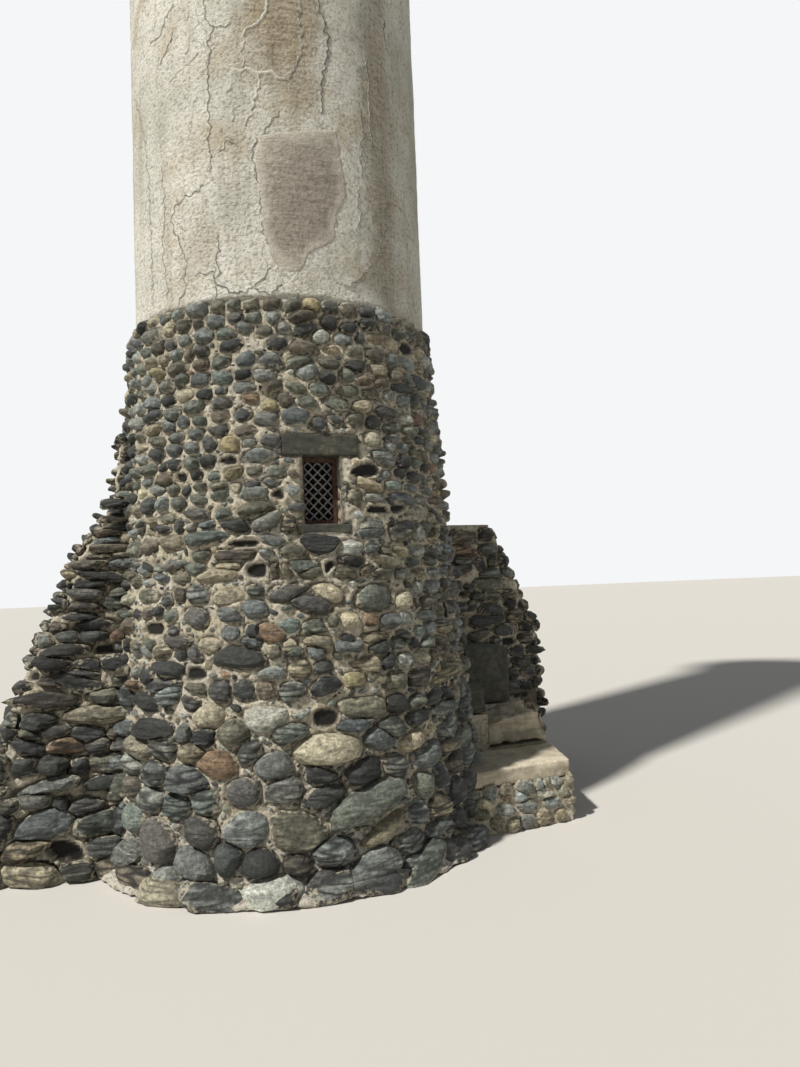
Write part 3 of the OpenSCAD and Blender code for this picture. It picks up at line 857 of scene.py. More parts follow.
def drum_blocked(point, wide, tall):
    """Openings, their lintels and sills, and what leans on the drum."""
    z = point[2]
    out, across = in_frame(point, WINDOW_TURN)
    if out > 0:
        for half, low, high in ((WINDOW_W / 2, WINDOW_SILL_Z, WINDOW_HEAD_Z),
                                (LINTEL_HALF, WINDOW_HEAD_Z, WINDOW_HEAD_Z + LINTEL_H),
                                (SILL_HALF, WINDOW_SILL_Z - SILL_H, WINDOW_SILL_Z)):
            if abs(across) < half + wide * 0.42 and low - tall * 0.42 < z < high + tall * 0.42:
                return True
    out, across = in_frame(point, DOOR_TURN)
    if out > 0:
        if abs(across) < DOOR_W / 2 + wide * 0.45 and FLOOR_Z - THRESHOLD_H < z < HEAD_COURSE_Z + tall * 0.4:
            return True
        above = abs(z - HEAD_COURSE_Z - DOOR_LINTEL_H / 2) < DOOR_LINTEL_H / 2 + tall * 0.4
        if above and abs(across) < DOOR_LINTEL_W / 2 + wide * 0.4:
            return True
        if WING_NEAR + 0.05 < across < WING_NEAR + WING_T - 0.05 and z < WING_H:
            return True
        if STEP_NEAR + 0.08 < across < WING_NEAR and z < SLAB_HIDES:
            return True
        if UPPER_STEPS_NEAR < across < WING_NEAR and z < UPPER_STEPS_HIDE:
            return True
    return point[0] < 0 and abs(point[1]) < buttress_half(z) - 0.06 and z < BUTTRESS_H - 0.25


FOOT_MIX_TOP = 0.62
DRUM_HEIGHTS = (0, 0.4, 0.8, 1.1, 1.75, 2.1, DRUM_H)
DRUM_SIZES = {
    "tall": (0.150, 0.135, 0.105, 0.080, 0.074, 0.080, 0.080),
    "wide": (0.20, 0.19, 0.165, 0.145, 0.135, 0.118, 0.112),
    "spread": (0.26, 0.28, 0.34, 0.40, 0.38, 0.28, 0.24),
    "gap": (0.0, 0.0, 0.0, 0.0, 0.002, 0.004, 0.004),
    "rise": (-0.006, -0.006, -0.004, -0.004, -0.003, -0.002, -0.002),
    "joint": (0.009, 0.010, 0.012, 0.014, 0.015, 0.016, 0.016),
    "proud": (0.066, 0.062, 0.056, 0.048, 0.046, 0.048, 0.048),
    "lean": (14, 12, 9, 8, 9, 10, 10),
    "wave": (0.004, 0.008, 0.014, 0.016, 0.016, 0.014, 0.006),
    "empty": (0.0, 0.0, 0.010, 0.028, 0.028, 0.018, 0.008),
}


def sizes_at(z, heights, table, **others):
    """A course's sizes, read from a table by height, with those that don't change."""
    return {**{name: float(np.interp(z, heights, row)) for name, row in table.items()}, **others}


def drum_look(z):
    """Sizes of a drum course by height: metres, degrees and shares."""
    return sizes_at(z, DRUM_HEIGHTS, DRUM_SIZES, tip=8.0, fit=(0.9, 1.15) if z < 0.8 else (0.78, 1.2),
                    fill=(1.1, 1.4) if z < 0.8 else (0.96, 1.26),
                    power=(9, 18) if z < 1.0 else (6, 14) if z < 1.9 else (5, 10))


def drum_mix(z):
    return FOOT_MIX if z < FOOT_MIX_TOP else DRUM_MIX


# %% Lay the drum
rng = np.random.default_rng(11)
known = []
for azimuth, z, wide, tall, lean, proud, kind, power in KNOWN:
    known.append(lay_stone(drum_face, seen_turn(azimuth), z, wide, tall, proud, lean,
                           shade(rng, kind, spread=0.04), rng, power, tip=3.0))
for azimuth, z, wide, tall in KNOWN_HOLES:
    hole = lay_stone(drum_face, seen_turn(azimuth), z, wide, tall, proud=0.03, lean=0,
                     colour=(0, 0, 0, 1), rng=rng, power=3.0)
    hole["empty"] = True
    known.append(hole)
drum_stones = lay_courses(drum_face, 0.0, DRUM_H + 0.004, drum_look, drum_mix, rng, drum_blocked, known)
fit_stones(drum_stones)


BOULDER_HALF = 0.09
BEHIND_Y = 0.35
BOULDERS_TOP = 1.0


def drum_detail(stone):
    """Boulders are cut finest, and stones behind the tower plainest."""
    if stone["spread"][0] > BOULDER_HALF:
        return FINE
    return PLAIN if stone["pos"][1] < BEHIND_Y else COARSE


set_stones = [s for s in drum_stones if not s["empty"]]
foot_stones = [s for s in set_stones if s["z"] < BOULDERS_TOP]
upper_stones = [s for s in set_stones if s["z"] >= BOULDERS_TOP]
place_piece(rock_piece("drum_boulders", foot_stones, drum_detail, seed=1), "cobble")
place_piece(rock_piece("drum_cobbles", upper_stones, drum_detail, seed=2), "cobble")
print(len(drum_stones), "stones laid on the drum")

# %% [markdown]
# ## Mortar squeezed between the stones
# The mortar is one sheet over each face. At every point of the sheet we ask how far the nearest
# stone's edge is: close to it the mortar drops into the socket, a finger further it stands up as
# a ridge, and in wide joints it lies lower again. A stone that fell out leaves its socket empty,
# and low mortar and empty sockets are painted dark as shade. The sheet is finest where the photo shows it.

# %% Mortar sheets
# How far the mortar laps over the edges of lintels and sills, how far round from its middle the
# seen side reaches, in radians, and the grid's steps before and behind
LAP = 0.01
SEEN_SIDE = 1.85
MORTAR_STEPS = (0.0122, 0.019)
MORTAR_SPLIT_Z = 1.5


def nearest_edges(points, stones):
    """Distance of each point of a sheet from the nearest stone's edge, and how empty it is."""
    rows, columns = points.shape[:2]
    edge = np.full((rows, columns), 0.09)
    hollow = np.zeros((rows, columns))
    lap = np.zeros((rows, columns))
    heights = points[:, 0, 2]
    for stone in stones:
        reach = max(stone["spread"][:2]) * 1.3 + 0.05
        row = np.flatnonzero(np.abs(heights - stone["z"]) < reach)
        if not len(row):
            continue
        line = points[row[len(row) // 2]] - stone["pos"]
        column = np.flatnonzero(np.hypot(line[:, 0], line[:, 1]) < reach * 1.15)
        if not len(column):
            continue
        pick = np.ix_(row, column)
        gap = points[pick] - stone["pos"]
        x, y = gap @ stone["axes"][0], gap @ stone["axes"][1]
        outline = np.interp(np.arctan2(y, x), OUTLINE_TURNS, stone["outline"])
        distance = np.hypot(x, y) - outline
        closer = distance < edge[pick]
        edge[pick] = np.where(closer, distance, edge[pick])
        hollow[pick] = np.where(closer, float(stone["empty"]), hollow[pick])
        lap[pick] = np.where(closer, stone["lap"], lap[pick])
    return edge, hollow, lap


def sheet_faces(surface, closed, keep=None):
    """Quads over a grid of points, round the ring if closed, without those that keep refuses."""
    rows, columns = surface.shape[:2]
    faces = []
    for i in range(rows - 1):
        for j in range(columns if closed else columns - 1):
            if keep is None or keep[i, j]:
                k = (j + 1) % columns
                faces.append((i * columns + j, i * columns + k, (i + 1) * columns + k, (i + 1) * columns + j))
    return faces


def mortar_heights(points, stones, low, high, fade=1.0):
    """How far the mortar stands out of the face, and how much painted shade darkens each point where
    it lies low or in an empty socket. Steps are taken over the distance from a stone's edge, in metres."""
    edge, hollow, lap = nearest_edges(points, stones)
    coarse = lumps(points, 0.06, 2)
    fine = lumps(points, 0.028, 2)
    groove = low + (high - low) * 0.6 * smooth_step(lap, 0.5, 0.95)
    crest = high * (1 + 0.45 * coarse) + 0.005 * fine
    rise = smooth_step(edge + 0.005 * fine + 0.006 * (lap - 0.5), -0.006, 0.009)
    height = groove + (crest - groove) * rise
    height -= smooth_step(edge, 0.016, 0.05) * (high - low) * (0.3 + 0.3 * coarse)
    lip = smooth_step(edge, -0.006, 0.002) * (1 - smooth_step(edge, 0.008, 0.028))
    socket = low + (height - low) * smooth_step(edge, -0.006, 0.004) + 0.011 * lip
    height = np.maximum(np.where(hollow > 0, socket, height), low)
    height = low + (height - low) * fade
    # Painted shade: mortar lying low by a stone's edge, and empty sockets, are darkened
    painted_shade = 0.7 * (1 - smooth_step(height, low + 0.05 * (high - low), low + 0.55 * (high - low)))
    painted_shade = np.where(hollow > 0, np.maximum(painted_shade, 1 - smooth_step(edge, -0.011, -0.001)), painted_shade)
    return height, painted_shade


def opening_distance(points, openings):
    """Distance of points from the nearest opening's edge, less than 0 inside it. An opening has a
    direction, half its width, and its lowest and highest point."""
    gaps = []
    for turn, half, low, high in openings:
        out, across = in_frame(points, turn)
        gap = np.maximum(np.abs(across) - half, np.abs(points[..., 2] - (low + high) / 2) - (high - low) / 2)
        gaps.append(np.where(out > 0, gap, 1.0))
    return np.minimum.reduce(gaps)


def drum_sheet_turns(fine, coarse):
    """Ways round for the sheet's columns, fine on the photo's side and coarser behind."""
    start, end = math.pi - SEEN_SIDE, math.pi + SEEN_SIDE
    near = np.linspace(start, end, int((end - start) * FOOT_R / fine), endpoint=False)
    back = np.linspace(end, start + TURN, int((TURN - 2 * SEEN_SIDE) * FOOT_R / coarse), endpoint=False)
    return np.concatenate([near, back]) / TURN


def cell_keep(distance):
    """Which cells of a closed sheet lie outside an opening."""
    middle = (distance + np.roll(distance, -1, axis=1)) / 2
    return (middle[:-1] + middle[1:]) / 2 > 0


def drum_mortar(name, z_low, z_high, fine, coarse, cap=False):
    """A closed ring of mortar round the drum between two heights."""
    us = drum_sheet_turns(fine, coarse)
    zs = np.linspace(z_low, z_high, int((z_high - z_low) / fine) + 1)
    u, z = np.meshgrid(us, zs)
    points, _, _, outs = face_axes(drum_face, u, z)
    opening = opening_distance(points, (
        (WINDOW_TURN, WINDOW_W / 2, WINDOW_SILL_Z, WINDOW_HEAD_Z),
        (WINDOW_TURN, LINTEL_HALF - LAP, WINDOW_HEAD_Z, WINDOW_HEAD_Z + LINTEL_H - 1.3 * LAP),
        (WINDOW_TURN, SILL_HALF - LAP, WINDOW_SILL_Z - SILL_H + LAP, WINDOW_SILL_Z),
        (DOOR_TURN, DOOR_W / 2, FLOOR_Z - THRESHOLD_H, HEAD_COURSE_Z),
        (DOOR_TURN, DOOR_LINTEL_W / 2 - LAP, HEAD_COURSE_Z, HEAD_COURSE_Z + DOOR_LINTEL_H - LAP),
    ))
    stones = [s for s in drum_stones if z_low - 0.3 < s["z"] < z_high + 0.3]
    crest = np.interp(z, [0, 0.8, 1.1, 1.8, 2.2, DRUM_H], [0.010, 0.012, 0.016, 0.018, 0.018, 0.016])
    height, painted_shade = mortar_heights(points, stones, low=0.003, high=crest,
                                 fade=smooth_step(opening, 0, 0.03))
    surface = points + outs * height[..., None]
    keep = cell_keep(opening)
    if cap:
        rim_ring = surface[-1:].copy()
        rim_ring[..., :2] *= (SHAFT_R - 0.01) / np.linalg.norm(rim_ring[..., :2], axis=-1, keepdims=True)
        surface = np.concatenate([surface, rim_ring])
        painted_shade = np.concatenate([painted_shade, painted_shade[-1:]])
        keep = np.concatenate([keep, keep[-1:]])
    piece = mesh_piece(name, surface, sheet_faces(surface, True, keep), sandy_mortar)
    # The mortar's painted shade in its hollows and empty sockets
    paint_points(piece, "painted_shade", painted_shade)
    lime_spots = smooth_step(lumps(surface, 0.35, 3), -0.1, 0.5)
    low_foot = 1 - smooth_step(surface[..., 2], 0.1, 0.5)
    paint_points(piece, "lime", np.clip(0.35 * lime_spots + 0.75 * low_foot, 0, 1))
    place_piece(piece, "mortar")


drum_mortar("drum_mortar_lower", 0.0, MORTAR_SPLIT_Z, *MORTAR_STEPS)
drum_mortar("drum_mortar_upper", MORTAR_SPLIT_Z, DRUM_H, *MORTAR_STEPS, cap=True)

# %% [markdown]
# ## Chips in the joints
# A mason saves mortar by pushing chips and pebbles into it wherever two stones leave a gap. They
# are small and many, so Geometry Nodes are the right tool. A cloud of points carries, for each
# chip, how it is turned, how large it is, its form and its colour. The tree puts a form on each
# point, makes the copies real and gives them their finish.

# %% The setting tree


def setting_tree():
    """A tree that sets forms on points, makes them real and gives them their finish."""
    tree = bpy.data.node_groups.new("set_in_place", "GeometryNodeTree")
    for name, kind in (("Points", "NodeSocketGeometry"), ("Forms", "NodeSocketCollection"),
                       ("Finish", "NodeSocketMaterial"), ("Swell", "NodeSocketFloat")):
        tree.interface.new_socket(name, in_out="INPUT", socket_type=kind)
    tree.interface.new_socket("Pieces", in_out="OUTPUT", socket_type="NodeSocketGeometry")
    into = add(tree, "NodeGroupInput").outputs
    forms = add(tree, "GeometryNodeCollectionInfo",
                {"Collection": into["Forms"], "Separate Children": True, "Reset Children": True})
    turn = add(tree, "GeometryNodeInputNamedAttribute", {"Name": "turn"}, data_type="FLOAT_VECTOR")
    spread = add(tree, "GeometryNodeInputNamedAttribute", {"Name": "spread"}, data_type="FLOAT_VECTOR")
    form = add(tree, "GeometryNodeInputNamedAttribute", {"Name": "form"}, data_type="INT")
    swollen = add(tree, VECTOR, {0: spread.outputs[0], "Scale": into["Swell"]}, operation="SCALE")
    rotation = add(tree, "FunctionNodeEulerToRotation", {0: turn.outputs[0]})
    copies = add(tree, "GeometryNodeInstanceOnPoints", {
        "Points": into["Points"], "Instance": forms.outputs[0], "Pick Instance": True,
        "Instance Index": form.outputs[0], "Rotation": rotation.outputs[0], "Scale": swollen.outputs[0],
    })
    real = add(tree, "GeometryNodeRealizeInstances", {"Geometry": copies.outputs[0]})
    finished = add(tree, "GeometryNodeSetMaterial", {"Geometry": real.outputs[0], "Material": into["Finish"]})
    add(tree, "NodeGroupOutput", {0: finished.outputs[0]})
    return tree


SETTING = setting_tree()


def set_pieces(name, places, forms, finish):
    """Sets forms at places. Each place has pos, axes, spread, form and colour."""
    mesh = bpy.data.meshes.new(name + "_points")
    mesh.from_pydata([p["pos"] for p in places], [], [])
    turns = [tuple(Matrix(np.array(p["axes"]).T.tolist()).to_euler()) for p in places]
    for key, kind, field, values in (("turn", "FLOAT_VECTOR", "vector", turns),
                                     ("spread", "FLOAT_VECTOR", "vector", [p["spread"] for p in places]),
                                     ("form", "INT", "value", [p["form"] for p in places]),
                                     ("own_colour", "FLOAT_COLOR", "color", [p["colour"] for p in places])):
        layer = mesh.attributes.new(key, kind, "POINT")
        layer.data.foreach_set(field, np.array(values, np.int32 if kind == "INT" else np.float32).ravel())
    source = show(name + "_points", mesh)
    modifier = source.modifiers.new("grow", "NODES")
    modifier.node_group = SETTING
    inputs = {"Forms": forms, "Finish": finish, "Swell": 1.0}
    for item in SETTING.interface.items_tree:
        if item.in_out == "INPUT" and item.name in inputs:
            modifier[item.identifier] = inputs[item.name]
    return show(name, grown_mesh(source, name))


print("setting tree has", len(SETTING.nodes), "nodes")

# %% Chips
CHIP_FORMS = 8
WIDEST_GAP = 0.085


def chip_form(name, rng):
    """A small angular stone of unit half-sizes, with 42 triangles."""
    sides, tilts = 7, (38, 76, 112)
    count, power = 9, 9
    flats = unit(rng.normal(0, 1, (count, 3)) * (1, 1, 0.8))
    reach = rng.uniform(0.75, 1.05, count)
    ways = ball_ways(sides, tilts)
    nearest = rounded_reach(ways, flats, reach, power, 0.2)
    mesh = bpy.data.meshes.new(name)
    mesh.from_pydata((ways * np.minimum(nearest, 1.1)[:, None]).tolist(), [], rock_faces(sides, len(tilts)))
    return bpy.data.objects.new(name, mesh)


rng = np.random.default_rng(71)
chip_forms = bpy.data.collections.new("chip_forms")
for i in range(CHIP_FORMS):
    chip_forms.objects.link(chip_form(f"chip_{i:02d}", rng))


def gap_chips(face, z_high, stones, mix, rng, blocked, step=0.011, least=0.010, most=0.042):
    """Chips wherever the stones of a face leave a gap, the largest that each gap takes."""
    us = np.linspace(0, 1, int(face_length(face, z_high / 2) / step))
    u, z = np.meshgrid(us, np.linspace(0.02, z_high - 0.01, int(z_high / step)))
    points, alongs, ups, outs = face_axes(face, u, z)
    edge = nearest_edges(points, stones)[0]
    rows, columns = np.nonzero((edge > least) & (edge < WIDEST_GAP))
    kept, radii, chips = np.zeros((0, 3)), np.zeros(0), []
    for i in rng.permutation(len(rows)):
        at = rows[i], columns[i]
        pos = points[at]
        size = min(edge[at] * rng.uniform(0.8, 1.1), most)
        if len(kept) and (np.linalg.norm(kept - pos, axis=1) < radii + size).any():
            continue
        if blocked(pos, 2 * size, 2 * size) or pos[2] < 1.4 * size:
            continue
        kept = np.vstack([kept, pos])
        radii = np.append(radii, size)
        a = math.radians(rng.normal(0, 25))
        x_axis = alongs[at] * math.cos(a) + ups[at] * math.sin(a)
        chips.append({
            "pos": pos + outs[at] * (0.004 + 0.35 * size),
            "axes": (x_axis, np.cross(outs[at], x_axis), outs[at]),
            "spread": tuple(size * rng.uniform(*limits) for limits in ((1.0, 1.5), (0.6, 0.95), (0.7, 1.1))),
            "form": int(rng.integers(CHIP_FORMS)), "colour": pick_colour(rng, mix(pos[2])),
        })
    return chips


drum_chips = gap_chips(drum_face, DRUM_H, drum_stones, drum_mix, np.random.default_rng(73), drum_blocked)
place_piece(set_pieces("drum_chips", drum_chips, chip_forms, beach_stone), "cobble")
print(len(drum_chips), "chips in the drum's joints")

# %% [markdown]
# ## Buttress and wing wall
# The buttress is rougher work than the drum: thin slates, hardly dressed, with deep dark joints
# and a ragged edge towards the sea. Here the mortar has washed out, so its sheet lies behind the
# wall's line, and the sheet itself becomes the mass that stands for the plain one.

# %% Piers of rubble


def pier_mass(name, face, z_top, stones, node_name, step, high, seat):
    """A closed mass of mortar in the shape of a pier, sunk behind the faces of its stones."""
    us = np.linspace(0, 1, int(face_length(face, 0.0, 200) / step))
    zs = np.linspace(0, z_top, int(z_top / step))
    u, z = np.meshgrid(us, zs)
    points, _, _, outs = face_axes(face, u, z)
    height, painted_shade = mortar_heights(points, stones, low=0.0, high=high)
    surface = points + outs * (height + seat)[..., None]
    surface[..., 2] = np.clip(surface[..., 2], 0, z_top)
    rows, columns = surface.shape[:2]
    faces = sheet_faces(surface, False)
    top = (rows - 1) * columns
    for j in range(columns // 2 - 1):
        k = columns - 1 - j
        faces.append((k, k - 1, j + 1, j))
        faces.append((top + j, top + j + 1, top + k - 1, top + k))
    for i in range(rows - 1):
        a, b = i * columns, (i + 1) * columns
        faces.append((a + columns - 1, a, b, b + columns - 1))
    piece = mesh_piece(name, surface, faces, sandy_mortar)
    # The mortar's painted shade in its hollows and empty sockets
    paint_points(piece, "painted_shade", painted_shade)
    paint_points(piece, "lime", 0.3 * smooth_step(lumps(surface, 0.3, 3), 0, 0.6)
                 + 0.6 * (1 - smooth_step(surface[..., 2], 0.03, 0.16)))
    place_piece(piece, "mortar", node_name)


BUTTRESS_HEIGHTS = (0, 0.6, 1.1, 1.8, BUTTRESS_H)
BUTTRESS_SIZES = {
    "tall": (0.115, 0.09, 0.07, 0.048, 0.055),
    "wide": (0.21, 0.20, 0.20, 0.19, 0.13),
    "joint": (0.010, 0.010, 0.008, 0.007, 0.008),
    "proud": (0.058, 0.055, 0.048, 0.040, 0.04),
    "lean": (14, 11, 8, 5, 5),
    "wave": (0.008, 0.012, 0.012, 0.008, 0.006),
}


def buttress_look(z):
    return sizes_at(z, BUTTRESS_HEIGHTS, BUTTRESS_SIZES, spread=0.42, fit=(0.8, 1.25), fill=(1.0, 1.35),
                    gap=0.0, rise=-0.004, tip=8.0, empty=0.06, power=(8, 20))


def behind_drum(point, wide, tall):
    return math.hypot(point[0], point[1]) < drum_r(point[2]) - 0.01


buttress_stones = build_wall("buttress_stones", buttress_face, BUTTRESS_H, buttress_look,
                             lambda z: PIER_MIX, behind_drum, seeds=(23, 3), detail=FINE)
pier_mass("buttress_mortar", buttress_face, BUTTRESS_H, buttress_stones, "seaward_buttress",
          step=0.016, high=0.026, seat=-0.030)

# %% Wing wall


def wing_blocked(point, wide, tall):
    return behind_drum(point, wide, tall) or point[2] > WING_H - tall / 2


def wing_look(z):
    sizes = buttress_look(0.6)
    sizes.update(tall=0.095, wide=0.17, proud=0.04, lean=8)
    return sizes


wing_stones = build_wall("wing_stones", wing_face, WING_H, wing_look,
                         lambda z: PIER_MIX, wing_blocked, seeds=(31, 4), detail=PLAIN)
pier_mass("wing_mortar", wing_face, WING_H, wing_stones, "cliffside_wall",
          step=0.02, high=0.022, seat=-0.018)

# %% [markdown]
# ## Rocks at the foot
# Round the foot the mortar runs out in a low skirt, and boulders that the sea can't move sit
# in it, half buried. They hide where the wall starts.

# %% Foot rocks
APRON_R = -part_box("foot_apron")[0].y
FOOT_ROCKS_H = 0.1
# From where to where, in degrees round from the photo's side, the skirt lies bare
BARE_SKIRT = (-72, -38)
print("skirt", round(APRON_R, 3), "m out")


def foot_face(u, z):
    """A ring just inside the skirt's edge, leaning back to the drum."""
    return on_ring(APRON_R - 0.01 - 0.6 * z, TURN * u + math.pi / 2, z)


def foot_look(z):
    sizes = drum_look(0.0)
    sizes.update(tall=0.13, wide=0.21, spread=0.34, proud=0.042, lean=16, fill=(1.0, 1.3), gap=0.01, wave=0.0)
    return sizes


def foot_blocked(point, wide, tall):
    """Nothing sits in the buttress or under the steps, and the skirt lies bare beside the buttress."""
    if BARE_SKIRT[0] < math.degrees(math.atan2(point[0], -point[1])) < BARE_SKIRT[1]:
        return True
    out, across = in_frame(point, DOOR_TURN)
    if out > 0 and STEP_NEAR - 0.05 < across < WING_NEAR + WING_T + 0.08:
        return True
    return point[0] < 0 and abs(point[1]) < BUTTRESS_HALF + 0.02


build_wall("foot_rocks", foot_face, FOOT_ROCKS_H, foot_look,
           drum_mix, foot_blocked, seeds=(83, 6), detail=FINE, slot="cobble")

# %% [markdown]
# ## Finish: plaster
# The shaft was rendered by hand with a lime and sand coat. It weathers pale grey with cream and
# ochre patches, rain draws it down in streaks, and it crazes as it ages. Clouds are half a metre
# wide, streaks are narrow and tall, and the sand gives a rough skin of 5 and 20 mm lumps. Cracks
# are laid on as strips of their own, which store as attributes how dark their painted shadow is
# and how pale their filling is.
# Brown stains, where water runs from the old cracks, and a painted shade down the shaft's
# shaded right side are stored together as one attribute.

# %% Plaster
aged_plaster, tree, shader, place = new_finish("aged_plaster", 0.92)
crack_shadow, filled, stain_and_shade = (add(tree, STORED, attribute_name=name).outputs["Fac"]
                             for name in ("crack", "filled", "stain_and_shade"))
long_place, tall_place = (add(tree, MAPPING, {"Vector": place, "Scale": scale}).outputs[0]
                          for scale in ((0.2, 0.2, 1), (1, 1, 0.08)))
combed, clouds, rain, skin, sand = (
    add(tree, NOISE, {"Vector": where, "Scale": scale, "Detail": detail, "Roughness": rough}).outputs[0]
    for where, scale, detail, rough in (
        (long_place, 48, 3, 0.6), (place, 1.9, 4, 0.55), (tall_place, 11, 5, 0.6),
        (place, 52, 4, 0.6), (place, 190, 4, 0.7)))
warmth = add(tree, NOISE, {"Vector": place, "Scale": 2.7, "Detail": 3, "Distortion": 0.4}).outputs[0]
colour = add(tree, RAMP, {0: clouds}, [
    (0.30, "#bfbeb2"), (0.44, "#d4d3c8"), (0.56, "#e2e1d7"), (0.70, "#e9e8dd")]).outputs[0]
stain_and_shade_tint = add(tree, RAMP, {0: combed}, [(0.34, "#8a7960"), (0.5, "#a8997f"), (0.66, "#bdb19a")]).outputs[0]
# Brown stains, and painted shade down the shaft's right side, mix in the same brown
colour = add(tree, MIX, {0: stain_and_shade, 6: colour, 7: stain_and_shade_tint}, data_type="RGBA").outputs[2]
tanned = add(tree, RANGE, {0: warmth, 1: 0.53, 2: 0.68, 3: 0.0, 4: 0.6}).outputs[0]
colour = add(tree, MIX, {0: tanned, 6: colour, 7: paint("#bcae92")}, data_type="RGBA").outputs[2]
colour = darkened(tree, colour,
                  (rain, 0.32, (0.32, "#a9a08c"), (0.5, "#ffffff")),
                  (skin, 0.55, (0.34, "#8b8577"), (0.50, "#ffffff")),
                  (sand, 0.45, (0.32, "#9a9588"), (0.50, "#ffffff")))
wander = add(tree, NOISE, {"Vector": place, "Scale": 6, "Detail": 4}).outputs["Color"]
wander = add(tree, VECTOR, {0: wander, "Scale": 0.2}, operation="SCALE").outputs[0]
wander = add(tree, VECTOR, {0: place, 1: wander}, operation="ADD").outputs[0]
craze = add(tree, CELLS, {"Vector": wander, "Scale": 5.0}, feature="DISTANCE_TO_EDGE")
hairline = add(tree, RANGE, {0: craze.outputs["Distance"], 1: 0.003, 2: 0.014, 3: 0.55, 4: 0.0}).outputs[0]
pale_cloud = add(tree, RANGE, {0: clouds, 1: 0.42, 2: 0.52}).outputs[0]
hairline = add(tree, MATH, {0: hairline, 1: pale_cloud}, operation="MULTIPLY").outputs[0]
# Dark hairlines, pale putty in filled cracks, and painted shadow down open cracks
for share, coat in ((hairline, "#7d7464"), (filled, "#d3cfc2"), (crack_shadow, "#2a261f")):
    colour = add(tree, MIX, {0: share, 6: colour, 7: paint(coat)}, data_type="RGBA").outputs[2]
dressed(tree, shader, colour, (combed, 0.010, 0.5), (skin, 0.020, 0.9), (sand, 0.004, 0.8))

# %% [markdown]
# ## Finish: trowelled repair
# A bay of plaster on the photo's side was mended with a finer, greyer mix and drawn level with a
# trowel. The trowel leaves long faint strokes across, each about 17 mm high, the coat's 20 mm
# lumps still show through, and the mend turns darker and browner towards its lower right.

# %% Trowelled repair
trowelled_repair, tree, shader, place = new_finish("trowelled_repair", 0.88)
thinned = add(tree, STORED, attribute_name="thinned").outputs["Fac"]
long_place = add(tree, MAPPING, {"Vector": place, "Scale": (0.12, 0.12, 1)}).outputs[0]
strokes, damp, skin, sand = (
    add(tree, NOISE, {"Vector": where, "Scale": scale, "Detail": detail, "Roughness": rough}).outputs[0]
    for where, scale, detail, rough in (
        (long_place, 60, 4, 0.65), (place, 7, 5, 0.6), (place, 52, 4, 0.6), (place, 220, 3, 0.5)))
low_right = add(tree, VECTOR, {0: place, 1: (0.5, 0.0, -0.7)}, operation="DOT_PRODUCT").outputs["Value"]
# The mend is darker and browner towards its lower right
darker_low_right = add(tree, RANGE, {0: low_right, 1: -2.95, 2: -2.25, 3: 0.1, 4: 0.75}).outputs[0]
colour = add(tree, RAMP, {0: damp}, [
    (0.34, "#a5a095"), (0.45, "#b6b0a3"), (0.58, "#c4beb2"), (0.7, "#aca69b")]).outputs[0]
colour = add(tree, MIX, {0: darker_low_right, 6: colour, 7: paint("#928a7f")}, data_type="RGBA").outputs[2]
colour = darkened(tree, colour,
                  (strokes, 0.4, (0.35, "#a39c94"), (0.58, "#ffffff")),
                  (skin, 0.45, (0.34, "#8f887c"), (0.50, "#ffffff")),
                  (sand, 0.5, (0.3, "#bdb8b0"), (0.5, "#ffffff")))
colour = add(tree, MIX, {0: thinned, 6: colour, 7: paint("#cdc7ba")}, data_type="RGBA").outputs[2]
dressed(tree, shader, colour, (strokes, 0.008, 0.7), (skin, 0.013, 0.8), (sand, 0.004, 0.9))

# %% [markdown]
# ## The plaster coat
# The coat is a ring of points pushed in and out by slow noise, since a hand-thrown coat is never
# true. Its lower edge is ragged and ends about a finger above the drum's top course.

# %% Plaster rings
# Thickness of the coat, how far its lower edge stands above the drum and wavers, and how far the
# coat laps over the edges of the windows' openings
COAT = 0.007
EDGE_RISE = 0.014
EDGE_WAVER = 0.020
REVEAL_LAP = 0.008
# Each stain: direction from the camera's side in degrees, height, half-width in degrees,
# half-height in metres and strength. The tall one at 40 degrees is painted shade down the shaft's
# shaded right side, not a stain.
STAINS_AND_SHADE = [(2, 4.72, 20, 0.50, 0.85), (8, 4.30, 12, 0.20, 0.6), (40, 4.1, 10, 1.4, 0.55),
          (-30, 3.35, 10, 0.25, 0.3), (-100, 4.6, 30, 0.8, 0.6), (170, 4.2, 40, 1.0, 0.6),
          (100, 6.5, 50, 1.0, 0.5), (-60, 7.4, 40, 0.9, 0.5), (-5, 8.2, 24, 0.8, 0.6),
          (150, 9.0, 50, 0.9, 0.5)]


def plaster_edge(turn):
    """Height of the coat's ragged lower edge in a direction."""
    return DRUM_H + EDGE_RISE + EDGE_WAVER * lumps(on_ring(SHAFT_R, turn, 0), 0.2, 3)


def plaster_radius(turn, z):
    """Radius of the coat's face."""
    spots = on_ring(SHAFT_R, turn, z)
    coat = COAT + 0.005 * lumps(spots, 0.5, 2) + 0.0022 * lumps(spots, 0.06, 3)
    near_edge = 1 - smooth_step(z - DRUM_H, 0.0, 0.12)
    return SHAFT_R + np.maximum(coat + near_edge * 0.010, 0.001)


